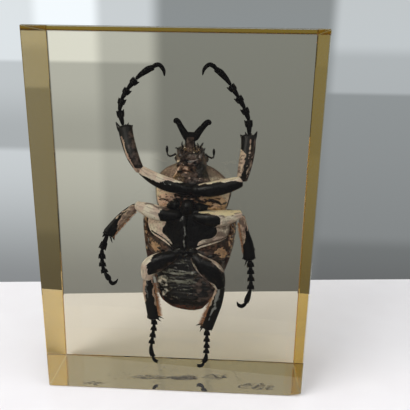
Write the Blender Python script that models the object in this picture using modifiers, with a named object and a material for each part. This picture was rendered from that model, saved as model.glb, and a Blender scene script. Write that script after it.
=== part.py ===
"""Clear resin block that holds a mounted beetle: the cast block on its own, standing on its narrow end.

Metres, +Z up. The origin is the middle of the bottom face. The viewing face looks along -Y and shows the
beetle's underside. The beetle is sealed inside the resin, so the block is one solid with no cavity.
"""

import math

import bmesh
import bpy
from mathutils import Vector

BLOCK_WIDTH = 0.118
BLOCK_DEPTH = 0.046
BLOCK_HEIGHT = 0.160

EDGE_BREAK = 0.0005  # polished edges are broken by a narrow two-facet round
EDGE_FACETS = 2

CHIP_WIDTH = 0.0075  # knocked corner: how far it runs along X, Y and Z
CHIP_DEPTH = 0.0030
CHIP_HEIGHT = 0.0016
CHIP_CUTTER = 0.030

RESIN_COLOUR = (0.86, 0.82, 0.66, 1.0)
RESIN_ROUGHNESS = 0.03
RESIN_IOR = 1.54


def clear_scene():
    """Removes what the start-up file holds."""
    for found in list(bpy.data.objects):
        bpy.data.objects.remove(found, do_unlink=True)


def named_collection(name):
    """A new collection under the scene's own."""
    made = bpy.data.collections.new(name)
    bpy.context.scene.collection.children.link(made)
    return made


def cube_object(name, size, centre, collection):
    """A box of the given size, with its place in its object and its size in its mesh."""
    mesh = bpy.data.meshes.new(name)
    shape = bmesh.new()
    bmesh.ops.create_cube(shape, size=1.0)
    bmesh.ops.scale(shape, vec=Vector(size), verts=shape.verts)
    shape.to_mesh(mesh)
    shape.free()
    box = bpy.data.objects.new(name, mesh)
    box.location = centre
    collection.objects.link(box)
    return box


def resin_material():
    """Yellowed clear casting resin."""
    resin = bpy.data.materials.new("resin")
    resin.use_nodes = True
    shader = resin.node_tree.nodes["Principled BSDF"]
    shader.inputs["Base Color"].default_value = RESIN_COLOUR
    shader.inputs["Roughness"].default_value = RESIN_ROUGHNESS
    shader.inputs["Metallic"].default_value = 0.0
    shader.inputs["IOR"].default_value = RESIN_IOR
    shader.inputs["Transmission Weight"].default_value = 1.0
    return resin


def corner_chip_cutter(collection):
    """A box whose one face slices the front right bottom corner off, along the chip's three legs."""
    corner = Vector((BLOCK_WIDTH / 2, -BLOCK_DEPTH / 2, 0.0))
    along_x = corner - Vector((CHIP_WIDTH, 0.0, 0.0))
    along_y = corner + Vector((0.0, CHIP_DEPTH, 0.0))
    along_z = corner + Vector((0.0, 0.0, CHIP_HEIGHT))
    outward = (along_y - along_x).cross(along_z - along_x).normalized()
    if outward.dot(corner - along_x) < 0.0:
        outward.negate()
    middle = (along_x + along_y + along_z) / 3
    cutter = cube_object(
        "corner_chip_cutter",
        (CHIP_CUTTER, CHIP_CUTTER, CHIP_CUTTER),
        middle + outward * (CHIP_CUTTER / 2),
        collection,
    )
    cutter.rotation_mode = "QUATERNION"
    cutter.rotation_quaternion = outward.to_track_quat("Z", "Y")
    cutter.hide_render = True
    cutter.display_type = "WIRE"
    return cutter


def resin_block(parts, cutters):
    """The cast block: a box with broken edges and one knocked corner."""
    block = cube_object(
        "resin_block",
        (BLOCK_WIDTH, BLOCK_DEPTH, BLOCK_HEIGHT),
        (0.0, 0.0, BLOCK_HEIGHT / 2),
        parts,
    )
    edges = block.modifiers.new("broken_edges", "BEVEL")
    edges.width = EDGE_BREAK
    edges.segments = EDGE_FACETS
    edges.limit_method = "ANGLE"
    edges.angle_limit = math.radians(40.0)
    chip = block.modifiers.new("knocked_corner", "BOOLEAN")
    chip.operation = "DIFFERENCE"
    chip.solver = "EXACT"
    chip.object = corner_chip_cutter(cutters)
    block.data.materials.append(resin_material())
    return block


def main():
    clear_scene()
    parts = named_collection("insect_in_resin_block")
    cutters = named_collection("cutters")
    resin_block(parts, cutters)


main()
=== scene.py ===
# %% [markdown]
# # A horned beetle sealed in clear resin
# The real object is a polished block of casting resin that stands on its narrow end. A dry beetle lies
# in the middle of it, underside to the front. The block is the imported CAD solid, so this lesson only
# gives it a finish. The beetle is built here, piece by piece, the way a preparator would take it apart.

# %% Load the block
import math

import bmesh
import bpy
import numpy as np
from mathutils import Matrix, Vector, noise


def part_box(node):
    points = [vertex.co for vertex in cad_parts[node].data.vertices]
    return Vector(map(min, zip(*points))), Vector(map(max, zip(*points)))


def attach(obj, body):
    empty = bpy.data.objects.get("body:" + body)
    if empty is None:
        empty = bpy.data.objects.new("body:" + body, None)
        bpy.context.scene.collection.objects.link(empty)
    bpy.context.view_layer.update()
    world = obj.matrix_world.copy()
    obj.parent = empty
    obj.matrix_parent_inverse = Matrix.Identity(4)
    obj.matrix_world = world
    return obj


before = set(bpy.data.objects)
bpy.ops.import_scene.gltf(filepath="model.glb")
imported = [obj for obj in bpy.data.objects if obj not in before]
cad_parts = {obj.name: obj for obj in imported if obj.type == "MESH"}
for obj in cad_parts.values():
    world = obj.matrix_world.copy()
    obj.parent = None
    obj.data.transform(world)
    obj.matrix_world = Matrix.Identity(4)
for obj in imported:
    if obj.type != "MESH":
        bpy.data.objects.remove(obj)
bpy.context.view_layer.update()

BODY = "root"
block_low, block_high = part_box("resin_block")
MM = (block_high.z - block_low.z) / 160  # one design millimetre, from the block's height
scene = bpy.context.scene
print(f"block {(block_high - block_low) / MM} in design millimetres")

# %% [markdown]
# ## The camera
# A telephone's wide lens held a hand's length in front of the block and a little above its middle. The
# place is worked out in design millimetres from the block's front face. A camera could be turned with
# Euler angles, but their order is easy to get wrong, so its three axes are computed from yaw, pitch and
# roll one after the other.

# %% Camera
EYE = Vector((20.7, -191.3, 145.3)) * MM + Vector((0, block_low.y, 0))
YAW, PITCH, ROLL = math.radians(-2.29), math.radians(15.93), math.radians(1.03)
LENS_MM, SENSOR_MM = 42.25, 36.0

ahead = Vector((math.sin(YAW) * math.cos(PITCH), math.cos(YAW) * math.cos(PITCH), -math.sin(PITCH)))
level = Vector((math.cos(YAW), -math.sin(YAW), 0))
above = level.cross(ahead)
across = math.cos(ROLL) * level + math.sin(ROLL) * above
upward = math.cos(ROLL) * above - math.sin(ROLL) * level
lens = bpy.data.cameras.new("camera")
lens.lens, lens.sensor_width, lens.clip_start = LENS_MM, SENSOR_MM, 0.005
camera = bpy.data.objects.new("camera", lens)
scene.collection.objects.link(camera)
camera.matrix_world = Matrix.Translation(EYE) @ Matrix((across, upward, -ahead)).transposed().to_4x4()
scene.camera = camera
print(f"camera at {tuple(round(v, 4) for v in EYE)}")

# %% [markdown]
# ## Shader maths
# A shader is a graph of nodes, and arithmetic in a graph is tiresome to read. `Val` wraps one output
# socket and overloads the usual operators, so that `1 - mask * 0.5` adds the Math nodes by itself.
# Clicking nodes together by hand would do as well, but forty of them are easier to read as formulas.

# %% Arithmetic on sockets
class Val:
    """One output socket. The usual operators on it add Math nodes."""

    def __init__(self, tree, socket):
        self.tree, self.socket = tree, socket

    def maths(self, operation, left, right=None):
        made = self.tree.nodes.new("ShaderNodeMath")
        made.operation = operation
        for slot, value in zip(made.inputs, (left, right)):
            if isinstance(value, Val):
                self.tree.links.new(value.socket, slot)
            elif value is not None:
                slot.default_value = value
        return Val(self.tree, made.outputs[0])

    def __add__(self, other):
        return self.maths("ADD", self, other)

    def __radd__(self, other):
        return self.maths("ADD", other, self)

    def __sub__(self, other):
        return self.maths("SUBTRACT", self, other)

    def __rsub__(self, other):
        return self.maths("SUBTRACT", other, self)

    def __mul__(self, other):
        return self.maths("MULTIPLY", self, other)

    def __rmul__(self, other):
        return self.maths("MULTIPLY", other, self)

    def __pow__(self, other):
        return self.maths("POWER", self, other)

    def larger(self, other):
        return self.maths("MAXIMUM", self, other)

    def step(self, low, high):
        """0 below low, 1 above high, smooth between."""
        made = self.tree.nodes.new("ShaderNodeMapRange")
        made.interpolation_type = "SMOOTHSTEP"
        self.tree.links.new(self.socket, made.inputs["Value"])
        made.inputs["From Min"].default_value, made.inputs["From Max"].default_value = low, high
        return Val(self.tree, made.outputs[0])


print("Val adds the Math nodes of a formula")

# %% [markdown]
# ## Graphs and materials
# A real surface is never even: its colour, its gloss and its small bumps all vary. Each variation takes a
# few nodes, and they could be written out one by one for every material. `Graph` has one method that adds
# any node, setting its options first and then its sockets. `Finish` adds what every material here needs:
# its shader, the place on the object, noise, cells, the values held by the mesh, and bumps.

# %% Graphs and materials
class Graph:
    """A shader graph: one method adds any node, and the rest are the few patterns this lesson repeats."""

    def __init__(self, tree):
        self.tree = tree

    def feed(self, node, values):
        for key, value in values.items():
            slot = node.inputs[key]
            if isinstance(value, Val):
                self.tree.links.new(value.socket, slot)
            elif slot.type == "RGBA" and len(value) == 3:
                slot.default_value = (*value, 1.0)
            else:
                slot.default_value = value

    def node(self, kind, settings=None, values=None, out=0):
        made = self.tree.nodes.new(kind)
        for key, value in (settings or {}).items():
            if key == "stops":
                while len(made.color_ramp.elements) < len(value):
                    made.color_ramp.elements.new(0.5)
                for stop, (at, colour) in zip(made.color_ramp.elements, value):
                    stop.position, stop.color = at, (*colour, 1.0)
            else:
                setattr(made, key, value)
        self.feed(made, values or {})
        return Val(self.tree, made.outputs[out])

    def mix(self, share, first, second):
        """Colour between first and second."""
        return self.node("ShaderNodeMix", {"data_type": "RGBA"}, {0: share, 6: first, 7: second}, out=2)

    def ramp(self, value, low, high, stops):
        """Colours at values between low and high."""
        share = (value - low) * (1 / (high - low))
        placed = [((at - low) / (high - low), tone) for at, tone in stops]
        return self.node("ShaderNodeValToRGB", {"stops": placed}, {"Fac": share})


class Finish(Graph):
    """A material in the making: a Principled shader and the nodes that feed it."""

    def __init__(self, name, **sockets):
        self.material = bpy.data.materials.new(name)
        self.material.use_nodes = True
        super().__init__(self.material.node_tree)
        self.shader = self.tree.nodes["Principled BSDF"]
        self.output = self.tree.nodes["Material Output"]
        self.place = self.node("ShaderNodeTexCoord", out="Object")
        self.feed(self.shader, sockets)

    def grain(self, size, detail=3.0, place=None, stretch=None):
        """Noise whose blobs are about size millimetres across."""
        at = place or self.place
        if stretch:
            at = self.node("ShaderNodeMapping", None, {"Vector": at, "Scale": stretch})
        return self.node("ShaderNodeTexNoise", None,
                         {"Vector": at, "Scale": 1 / (size * MM), "Detail": detail})

    def cells(self, size, feature="F1", out="Distance"):
        return self.node("ShaderNodeTexVoronoi", {"feature": feature},
                         {"Vector": self.place, "Scale": 1 / (size * MM)}, out=out)

    def held(self, name, out="Fac"):
        """A value that is stored at each point of the mesh."""
        return self.node("ShaderNodeAttribute", {"attribute_name": name}, out=out)

    def bump(self, height, strength, distance):
        return self.node("ShaderNodeBump", None,
                         {"Height": height, "Strength": strength, "Distance": distance * MM})

    def show(self, **sockets):
        self.feed(self.shader, {key.replace("_", " "): value for key, value in sockets.items()})
        return self.material


print("Graph adds nodes to any tree, Finish makes a material")

# %% [markdown]
# ## The table
# The block stands near the front of a pale laminate shelf whose far edge is a hand behind it. A plane
# would do for a floor, but the far edge shows through the resin, so the shelf is a slab with broken
# edges. It ends close before the block, because the front face would mirror a longer one over the black
# beetle.

# %% Table
TABLE_WIDE, TABLE_FRONT, TABLE_BACK, TABLE_THICK = 1.8, -0.045, 0.100, 0.03
TABLE_GAP = 0.0003  # air under the block, without which its bottom face would not mirror
TABLE_TURN = math.radians(5.6)


def new_object(name, mesh):
    made = bpy.data.objects.new(name, mesh)
    scene.collection.objects.link(made)
    return made


def object_from(shape, name):
    """Turns a bmesh into an object."""
    mesh = bpy.data.meshes.new(name)
    shape.to_mesh(mesh)
    shape.free()
    return new_object(name, mesh)


shape = bmesh.new()
bmesh.ops.create_cube(shape, size=1.0)
bmesh.ops.scale(shape, vec=(TABLE_WIDE, TABLE_BACK - TABLE_FRONT, TABLE_THICK), verts=shape.verts)
table_middle = (0, (TABLE_BACK + TABLE_FRONT) / 2, -TABLE_THICK / 2 - TABLE_GAP)
bmesh.ops.translate(shape, vec=table_middle, verts=shape.verts)
bmesh.ops.rotate(shape, matrix=Matrix.Rotation(TABLE_TURN, 3, "Z"), verts=shape.verts)
bmesh.ops.bevel(shape, geom=shape.edges[:], offset=0.0016, segments=3, affect="EDGES")
table_top = object_from(shape, "table_top")
laminate = Finish("pale_laminate", Roughness=0.4)
mottle = laminate.grain(22)
laminate.show(Base_Color=laminate.mix(mottle, (0.74, 0.71, 0.72), (0.79, 0.77, 0.78)),
              Roughness=0.38 + mottle * 0.1)
table_top.data.materials.append(laminate.material)
print("table", TABLE_WIDE, "metres wide and", round(TABLE_BACK - TABLE_FRONT, 3), "deep")

# %% [markdown]
# ## The room behind
# Clear resin shows whatever stands behind it, so the backdrop matters as much as the lamps: a grey wall
# with pale window panes at the left. It could be built from glowing planes. Here the world's colour is
# computed from the direction of each ray instead, which casts no shadow and adds no mesh: `over` and
# `rise` say where the ray would meet a wall one unit behind the block. The room in front stays dim, and
# a ray that has been mirrored sees little of the left panes, so that the black beetle stays black.

# %% Sky
world = bpy.data.worlds.new("sky")
scene.world = world
world.use_nodes = True
sky = Graph(world.node_tree)
way = sky.node("ShaderNodeTexCoord", out="Generated")
split = sky.node("ShaderNodeSeparateXYZ", None, {0: way}, out="X").socket.node.outputs
east, north, up = (Val(sky.tree, split[axis]) for axis in "XYZ")
depth = north.larger(0.06)
over, rise = east.maths("DIVIDE", east, depth), up.maths("DIVIDE", up, depth)  # where on the wall behind

WALL = ((-0.60, (0.15, 0.155, 0.16)), (-0.46, (0.160, 0.167, 0.170)), (-0.38, (0.188, 0.200, 0.202)),
        (-0.17, (0.226, 0.242, 0.246)), (0.06, (0.256, 0.278, 0.284)), (0.30, (0.26, 0.27, 0.265)),
        (0.70, (0.27, 0.28, 0.25)), (1.10, (0.30, 0.31, 0.28)))
wall = sky.ramp(rise, -0.60, 1.10, WALL)
MIRRORED_LOSS = 0.85  # share of the panes that a mirrored ray doesn't see
straight = 1 - sky.node("ShaderNodeLightPath", out="Glossy Depth").step(0.2, 0.8) * MIRRORED_LOSS
left = (0 - over).step(0.125, 0.165) * straight
far_left = (0 - over).step(0.245, 0.275) * straight
right = over.step(0.19, 0.22)
low_band = rise.step(-0.60, -0.22) * 0.9
# Every line is one pane or sill: where it lies, times how much brighter than the wall it is.
panes = (
    left * (0.10 + low_band * 0.02 + rise.step(-0.13, -0.04) * 0.04)
    + far_left * low_band * 0.11
    + left * rise.step(0.002, 0.012) * 0.19 * (1 - rise.step(0.15, 0.4))
    + far_left * rise.step(0.002, 0.012) * 0.17
    + far_left * rise.step(-0.14, -0.02) * 0.07
    + left * (0 - rise).step(0.165, 0.182) * rise.step(-0.46, -0.17) * 0.19
    - (0 - over).step(0.37, 0.40) * (0.03 + rise.step(0.002, 0.012) * 0.16)
    + right * (0.035 + rise.step(0.02, 0.05) * 0.11 - (0 - rise).step(0.34, 0.38) * 0.06)
    + right * rise.step(-0.05, -0.04) * 0.15
)
tinted = sky.node("ShaderNodeVectorMath", {"operation": "SCALE"}, {0: (0.95, 1.0, 1.04), "Scale": panes})
behind = sky.node("ShaderNodeVectorMath", {"operation": "ADD"}, {0: wall, 1: tinted})
ROOM = ((-1.0, (0.30, 0.30, 0.31)), (-0.60, (0.12, 0.12, 0.125)), (0.08, (0.10, 0.10, 0.105)),
        (0.20, (0.55, 0.56, 0.58)), (0.50, (1.7, 1.73, 1.78)), (1.0, (1.25, 1.27, 1.31)))
before = sky.ramp(up, -1.0, 1.0, ROOM)
whole = sky.mix(north.step(-0.05, 0.12), before, behind)
sky.feed(sky.tree.nodes["Background"], {"Color": whole})
print("sky of", len(sky.tree.nodes), "nodes")

# %% [markdown]
# ## The lamp
# Daylight comes from a big window at the left, before the block and above it. A sun lamp would draw hard
# shadows. One large area lamp gives the soft ones of a window, and it stands outside the angles that the
# front face mirrors into the camera. Colours are shown as they are set, without a film look, and rays may
# bounce often, because a ray that looks through the block meets many faces.

# %% Lamp
def panel(name, at, aim, wide, high, radiance):
    """A soft box of the given brightness: watts for a lamp are radiance times area times pi."""
    light = bpy.data.lights.new(name, "AREA")
    light.shape = "RECTANGLE"
    light.size, light.size_y = wide, high
    light.energy = radiance * wide * high * math.pi
    lamp = bpy.data.objects.new(name, light)
    scene.collection.objects.link(lamp)
    lamp.location = at
    lamp.rotation_mode = "QUATERNION"
    lamp.rotation_quaternion = (Vector(aim) - Vector(at)).to_track_quat("-Z", "Y")
    lamp.visible_camera = False
    return lamp


window = panel("window", (-1.20, -1.05, 0.95), (0, 0, 0.08), wide=1.3, high=1.1, radiance=6.2)
scene.view_settings.view_transform = "Standard"
scene.cycles.max_bounces = 24
scene.cycles.glossy_bounces = 12
scene.cycles.transmission_bounces = 16
print(window.name, round(window.data.energy, 1), "watts")

# %% [markdown]
# ## The resin
# Clear casting resin bends light about as much as window glass bends it and a little more, and it has
# yellowed. A plain absorption volume takes out blue along every ray, so a long way through the block
# looks darker than a short one. The outermost skin of old resin is yellower than its heart: a ray that
# skims a side wall from inside runs a long way in that skin. A thin yellow layer of mesh could show it,
# but mixing by the angle between ray and wall, on inner faces only, gives the same amber bands along the
# edges and adds nothing to the model.

# %% Resin
RESIN_IOR = 1.54
TAKEN_PER_METRE = (3.6, 5.0, 9.2)  # red, green and blue
SKIN_POWER = 2.2
RESIN_GLOSS = 0.2  # weaker reflections than the IOR alone gives (0.5)
AMBER = (0.86, 0.57, 0.04)

resin = Finish("resin", IOR=RESIN_IOR)
resin.feed(resin.shader, {"Transmission Weight": 1.0, "Specular IOR Level": RESIN_GLOSS})
scuffs = resin.grain(9, 6)
handled = resin.grain(2.2, 4, stretch=(1, 1, 6))
resin.show(
    Base_Color=resin.mix(scuffs.step(0.66, 0.8) * 0.06, (1.0, 1.0, 1.0), (0.8, 0.78, 0.72)),
    Roughness=(scuffs * handled).step(0.40, 0.60) * 0.03,
)
skim = resin.node("ShaderNodeLayerWeight", None, {"Blend": 0.5}, out="Facing")
inner = resin.node("ShaderNodeNewGeometry", out="Backfacing")
amber = resin.node("ShaderNodeBsdfAnisotropic", None, {"Color": AMBER, "Roughness": 0.0})
skin = resin.node("ShaderNodeMixShader", None, {0: (skim ** SKIN_POWER) * skim.step(0.30, 0.42) * inner})
resin.tree.links.new(resin.shader.outputs[0], skin.socket.node.inputs[1])
resin.tree.links.new(amber.socket, skin.socket.node.inputs[2])
resin.tree.links.new(skin.socket, resin.output.inputs["Surface"])
density = max(TAKEN_PER_METRE) * 1.05
drink = resin.node("ShaderNodeVolumeAbsorption", None, {
    "Color": tuple(1 - taken / density for taken in TAKEN_PER_METRE),
    "Density": density,
})
resin.tree.links.new(drink.socket, resin.output.inputs["Volume"])
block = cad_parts["resin_block"]
for slot in block.material_slots:
    slot.material = resin.material
print("resin absorbs", TAKEN_PER_METRE, "per metre")

# %% [markdown]
# ## The beetle's finishes
# Beetle skin is a hard, glossy shell with fine pits. Where it is pale it is velvety, with small brown
# pits. An image painted for each plate would be one way. Here each mesh carries values at its points, and
# the shader reads them: `pale` says where the cream marks are, `warm` where the skin is brown instead of
# black, `dull` where it turns a dull mauve-brown, a glint value where grey highlights are painted on, and
# `lay` is the place on the limb, so that streaks run along it. Noise frays all the borders, as on the real
# animal.

# %% Beetle skin
BLACK, BROWN = (0.0035, 0.0035, 0.0040), (0.055, 0.030, 0.027)
CREAM, STRAW, ROSE = (0.93, 0.84, 0.69), (0.93, 0.82, 0.53), (0.80, 0.61, 0.52)
# DULL is a dull mauve-brown; the second colour is the grey of the painted highlights.
DULL, GLINT_GREY = (0.145, 0.100, 0.086), (0.32, 0.34, 0.34)
TAN, SILVER = (0.55, 0.33, 0.18), (0.82, 0.77, 0.67)
SMOKE, SPECK = (0.26, 0.18, 0.15), (0.13, 0.06, 0.04)


def beetle_skin(name, brown=BROWN, mottled=2.4, pit_mm=0.34, gloss=0.22, tints=(ROSE, CREAM), smoke=0.6,
                soft=0.08,
                specks=0.5, shine=0.2, straw=0.9, glint_tint=GLINT_GREY):
    """Glossy dark skin with pits, and velvety pale marks with brown pits where the mesh says so. shine is
    low because resin around a shell takes most of its gloss away."""
    skin = Finish(name)
    skin.feed(skin.shader, {"Specular IOR Level": shine})
    lay = skin.held("lay", "Vector")
    fray = skin.grain(0.7, 4)
    ragged = skin.grain(2.2, 4).step(0.32, 0.68)
    drift = skin.grain(5.0, 3)
    streak = skin.grain(1.0, 4, place=lay)
    patchy = (ragged - 0.5) * 0.34 + (fray - 0.5) * 0.5
    pale = (skin.held("pale") + patchy).step(0.5 - soft, 0.5 + soft)
    warm = (skin.held("warm") + (drift - 0.5) * 0.7 + (fray - 0.5) * 0.5).step(0.2, 0.8)
    dull = (skin.held("dull") + patchy * 1.2).step(0.2, 0.9)
    # Painted highlight: the grey streaks and spots that the mesh asks for are mixed into the colour below.
    film = (skin.held("film") + (fray - 0.5) * 0.9 + (streak - 0.5) * 0.9).step(0.35, 0.75)
    pits = skin.cells(pit_mm).step(0.05, 0.32)
    blots = skin.grain(mottled, 6).step(0.40, 0.62)
    dark = skin.mix(warm, BLACK, skin.mix(blots, tuple(c * 0.2 for c in brown), brown))
    tint = skin.mix(drift.step(0.38, 0.60), *tints)
    tint = skin.mix(warm * straw, tint, STRAW)
    tint = skin.mix(streak.step(0.48, 0.66) * smoke, tint, SMOKE)
    tint = skin.mix((1 - skin.cells(pit_mm * 3.0).step(0.08, 0.22)) * specks, tint, SPECK)
    colour = skin.mix(dull * 0.85, skin.mix(pale, dark, tint), DULL)
    lumps = skin.bump(pits * 0.2 + skin.grain(0.6, 3) * 0.3 + streak * pale * 1.4, 0.4, 0.10)
    return skin.show(
        Base_Color=skin.mix(film * 0.9, colour, glint_tint),
        Roughness=gloss + pale * 0.14 + fray * 0.14,
        Normal=lumps,
    )


finishes = {
    "shell": beetle_skin("shell"),
    "thigh": beetle_skin("thigh", tints=((0.84, 0.69, 0.61), (0.98, 0.92, 0.81)), smoke=0.45),
    "foot": beetle_skin("foot", gloss=0.42, shine=0.05),
    "flange": beetle_skin("flange", gloss=0.26, specks=0.6),
    "shin": beetle_skin("shin", tints=((0.58, 0.41, 0.34), (0.74, 0.60, 0.48)), smoke=0.7, gloss=0.24),
    "hips": beetle_skin("hips", (0.17, 0.088, 0.060), mottled=1.3, pit_mm=0.42, gloss=0.24,
                        tints=(TAN, (0.66, 0.44, 0.26)), shine=0.4, straw=0.0),
    "belly": beetle_skin("belly", (0.120, 0.040, 0.024), mottled=1.1, pit_mm=0.42, gloss=0.17,
                         tints=(SILVER, (0.94, 0.90, 0.82)), smoke=0.2, soft=0.2, shine=0.5, straw=0.0,
                         glint_tint=(0.23, 0.235, 0.20)),
    "head": beetle_skin("head", (0.150, 0.098, 0.084), mottled=0.9, smoke=0.5, soft=0.2, shine=0.5,
                        straw=0.0),
}
print(len(finishes), "kinds of shell")

# %% [markdown]
# ## The softer finishes
# Between the plates the skin is dry and folded. Its colour follows the height of the folds: cream on the
# ridges as painted light, black in the valleys as painted shade. The wing covers are velvety, an eye is
# made of hundreds of facets, and hair changes at random between two tones. One finish with many options
# would be shorter, but each of these has a pattern and a gloss of its own, so each gets a small function.
# The last one is the grime that handling leaves on resin.

# %% Membrane, wing covers, eyes, hair and dried marks
def membrane():
    """Dry folded skin between the hard plates. Its colour follows the height of its folds: cream and gold
    on the ridges as painted light, black in the valleys as painted shade.
    """
    skin = Finish("membrane")
    fine = skin.grain(1.0, 6)
    height = skin.held("pale") + (fine - 0.5) * 0.9
    gilt = skin.mix(skin.held("warm"), (0.94, 0.71, 0.60), (0.58, 0.36, 0.16))
    # Painted shade: the lower a fold lies, the darker it is, down to black in the valleys.
    fold_shade_stops = ((-0.7, (0.004, 0.004, 0.004)), (-0.1, (0.020, 0.010, 0.008)), (0.45, (0.20, 0.10, 0.055)))
    deep = skin.ramp(height, -1.0, 0.6, fold_shade_stops)
    return skin.show(Base_Color=skin.mix(height.step(0.35, 0.85), deep, gilt), Roughness=0.24 + fine * 0.3,
                     Normal=skin.bump(fine, 0.7, 0.3))


def wing_cover():
    """Velvety chocolate back with a pale, frayed margin and shoulder marks."""
    skin = Finish("wing_cover", IOR=1.5)
    fray = skin.grain(1.3, 5)
    pale = (skin.held("pale") + (fray - 0.5) * 0.45).step(0.4, 0.6)
    nap = skin.grain(0.5, 4)
    brown = skin.mix(skin.grain(14, 3), (0.060, 0.017, 0.010), (0.034, 0.010, 0.007))
    return skin.show(
        Base_Color=skin.mix(pale, brown, skin.mix(nap, (0.62, 0.50, 0.36), (0.80, 0.68, 0.50))),
        Roughness=0.42 + nap * 0.2,
        Normal=skin.bump(nap + skin.cells(0.8) * 0.5, 0.3, 0.08),
    )


def eye_glass():
    """Compound eye: hundreds of facets under a clear coat."""
    eye = Finish("eye", Roughness=0.16)
    facets = eye.cells(0.14)
    return eye.show(Base_Color=eye.mix(facets.step(0.2, 0.6), (0.05, 0.022, 0.012), (0.018, 0.009, 0.006)),
                    Coat_Weight=0.8, Normal=eye.bump(1 - facets, 0.5, 0.04))


def hair_fibre(name, root, tip):
    """Hair whose tone changes at random between a darker and a lighter colour."""
    hair = Finish(name, Roughness=0.42)
    tone = hair.grain(0.8, 2)
    return hair.show(Base_Color=hair.mix(tone.step(0.3, 0.7), root, tip), Roughness=0.38 + tone * 0.2)


def dried_marks():
    """Grime and fine scuffs left on the resin."""
    film = Finish("dried_marks", Roughness=0.6)
    thick = film.grain(1.2, 4).step(0.35, 0.65)
    return film.show(Base_Color=film.mix(thick, (0.045, 0.040, 0.032), (0.20, 0.18, 0.14)))


finishes.update(
    membrane=membrane(),
    wing=wing_cover(),
    eye=eye_glass(),
    fringe=hair_fibre("orange_fringe", (0.26, 0.085, 0.03), (0.72, 0.36, 0.16)),
    fluff=hair_fibre("golden_fluff", (0.34, 0.19, 0.07), (0.85, 0.62, 0.33)),
    marks=dried_marks(),
)
print(len(finishes), "finishes")

# %% [markdown]
# ## Two ways of making a body part
# Almost every part of a beetle is one of two things. A *limb* is a tube along a bent line whose width and
# thickness change: a leg, a claw, a horn. A *plate* is a flat pillow with a rounded rim: a piece of
# armour. Sculpting would give livelier shapes, but no two runs would agree. Both are made as closed rings
# of points in design millimetres, with numpy, and both give each point its values for the shader. x runs
# to the viewer's right, y away from the viewer, z up.

# %% Smooth lines and noise
def smooth(values, t):
    """What a quantity known at even steps is at t, from 0 to 1, on a smooth line through the known ones."""
    known = np.array(values, float).reshape(len(values), -1)
    known = np.vstack([2 * known[0] - known[1], known, 2 * known[-1] - known[-2]])
    at = np.clip(np.asarray(t, float), 0, 1) * (len(known) - 3)
    start = np.minimum(at.astype(int), len(known) - 4)
    s = (at - start)[:, None]
    a, b, c, d = (known[start + k] for k in range(4))
    return 0.5 * (2 * b + (c - a) * s + (2 * a - 5 * b + 4 * c - d) * s**2 + (3 * b - a - 3 * c + d) * s**3)


def rounded(q):
    """Quarter-round rise from 0 at q = 0 to 1 at q = 1 and beyond."""
    return np.sqrt(1 - (1 - np.clip(q, 0, 1)) ** 2)


def ease(low, high, value):
    """0 below low, 1 above high, smooth between."""
    q = np.clip((value - low) / (high - low), 0, 1)
    return q * q * (3 - 2 * q)


def bumpy(points, size, seed=0.0):
    """Smooth noise from -1 to 1 with blobs of about size millimetres."""
    return np.array([noise.noise(Vector(p) / size + Vector((seed, seed * 0.7, 0))) for p in points])


print("halfway through 0, 4, 2 a smooth line is at", smooth((0, 4, 2), [0.5])[0, 0])

# %% [markdown]
# ## The mesh maker
# Every part of the beetle that a preparator could take off becomes a closed skin of its own. It could be
# joined by hand in Edit Mode. `Maker` collects rings of points instead, closes the first and the last
# ring with a face, merges doubled points, turns all faces outward and lets the piece ride on the block.

# %% The mesh maker
class Maker:
    """Collects closed rings of points and turns them into one mesh piece."""

    def __init__(self, name):
        self.name, self.points, self.faces, self.lay, self.count = name, [], [], [], 0
        self.held = {key: [] for key in ("pale", "warm", "dull", "film")}

    def rings(self, grid, lay=None, **held):
        """Skins rows of ring points. The first and last row are closed by a face."""
        rows, ring = grid.shape[:2]
        index = np.arange(rows * ring).reshape(rows, ring) + self.count
        turn = np.roll(index, -1, axis=1)
        quads = np.stack([index[:-1], turn[:-1], turn[1:], index[1:]], axis=-1).reshape(-1, 4)
        self.faces += quads.tolist()
        self.faces += [index[0][::-1].tolist(), index[-1].tolist()]
        self.points.append(grid.reshape(-1, 3))
        self.lay.append((grid if lay is None else lay).reshape(-1, 3))
        for key, found in self.held.items():
            found.append(np.broadcast_to(np.asarray(held.get(key, 0.0), float), (rows, ring)).reshape(-1))
        self.count += rows * ring

    def finish(self, finish, slot=None, sharp=40.0):
        """One object at the origin, its doubles merged, its faces outward, riding on the block's body."""
        mesh = bpy.data.meshes.new(self.name)
        mesh.from_pydata((np.vstack(self.points) * MM).tolist(), [], self.faces)
        for key, found in self.held.items():
            mesh.attributes.new(key, "FLOAT", "POINT").data.foreach_set("value", np.concatenate(found))
        lay = np.vstack(self.lay) * MM
        mesh.attributes.new("lay", "FLOAT_VECTOR", "POINT").data.foreach_set("vector", lay.ravel())
        shape = bmesh.new()
        shape.from_mesh(mesh)
        bmesh.ops.remove_doubles(shape, verts=shape.verts, dist=0.004 * MM)
        bmesh.ops.dissolve_degenerate(shape, edges=shape.edges, dist=0.002 * MM)
        bmesh.ops.recalc_face_normals(shape, faces=shape.faces)
        shape.to_mesh(mesh)
        shape.free()
        mesh.shade_smooth()
        mesh.set_sharp_from_angle(angle=math.radians(sharp))
        mesh.materials.append(finishes[finish])
        made = new_object(self.name, mesh)
        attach(made, BODY)
        return made


print("values held at each point:", *Maker("trial").held)

# %% [markdown]
# ## Limbs
# A thigh, a claw or an arm of the horn is round and bent, and its width changes along it. A curve with a
# bevel or a Skin modifier could make it. Rings of points along a smooth line are used instead, because
# each point then knows how far along the limb it lies, which edge it is nearer and whether it faces the
# viewer, and the marks are drawn from just that.

# %% Limbs
TOWARD = (0.0, -1.0, 0.0)  # the way to the viewer
LAY_SHARE = 0.16  # streaks along a limb are drawn out about six times
LAY_SHIFT = 0.37  # another stretch of noise for every limb of a piece


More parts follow.
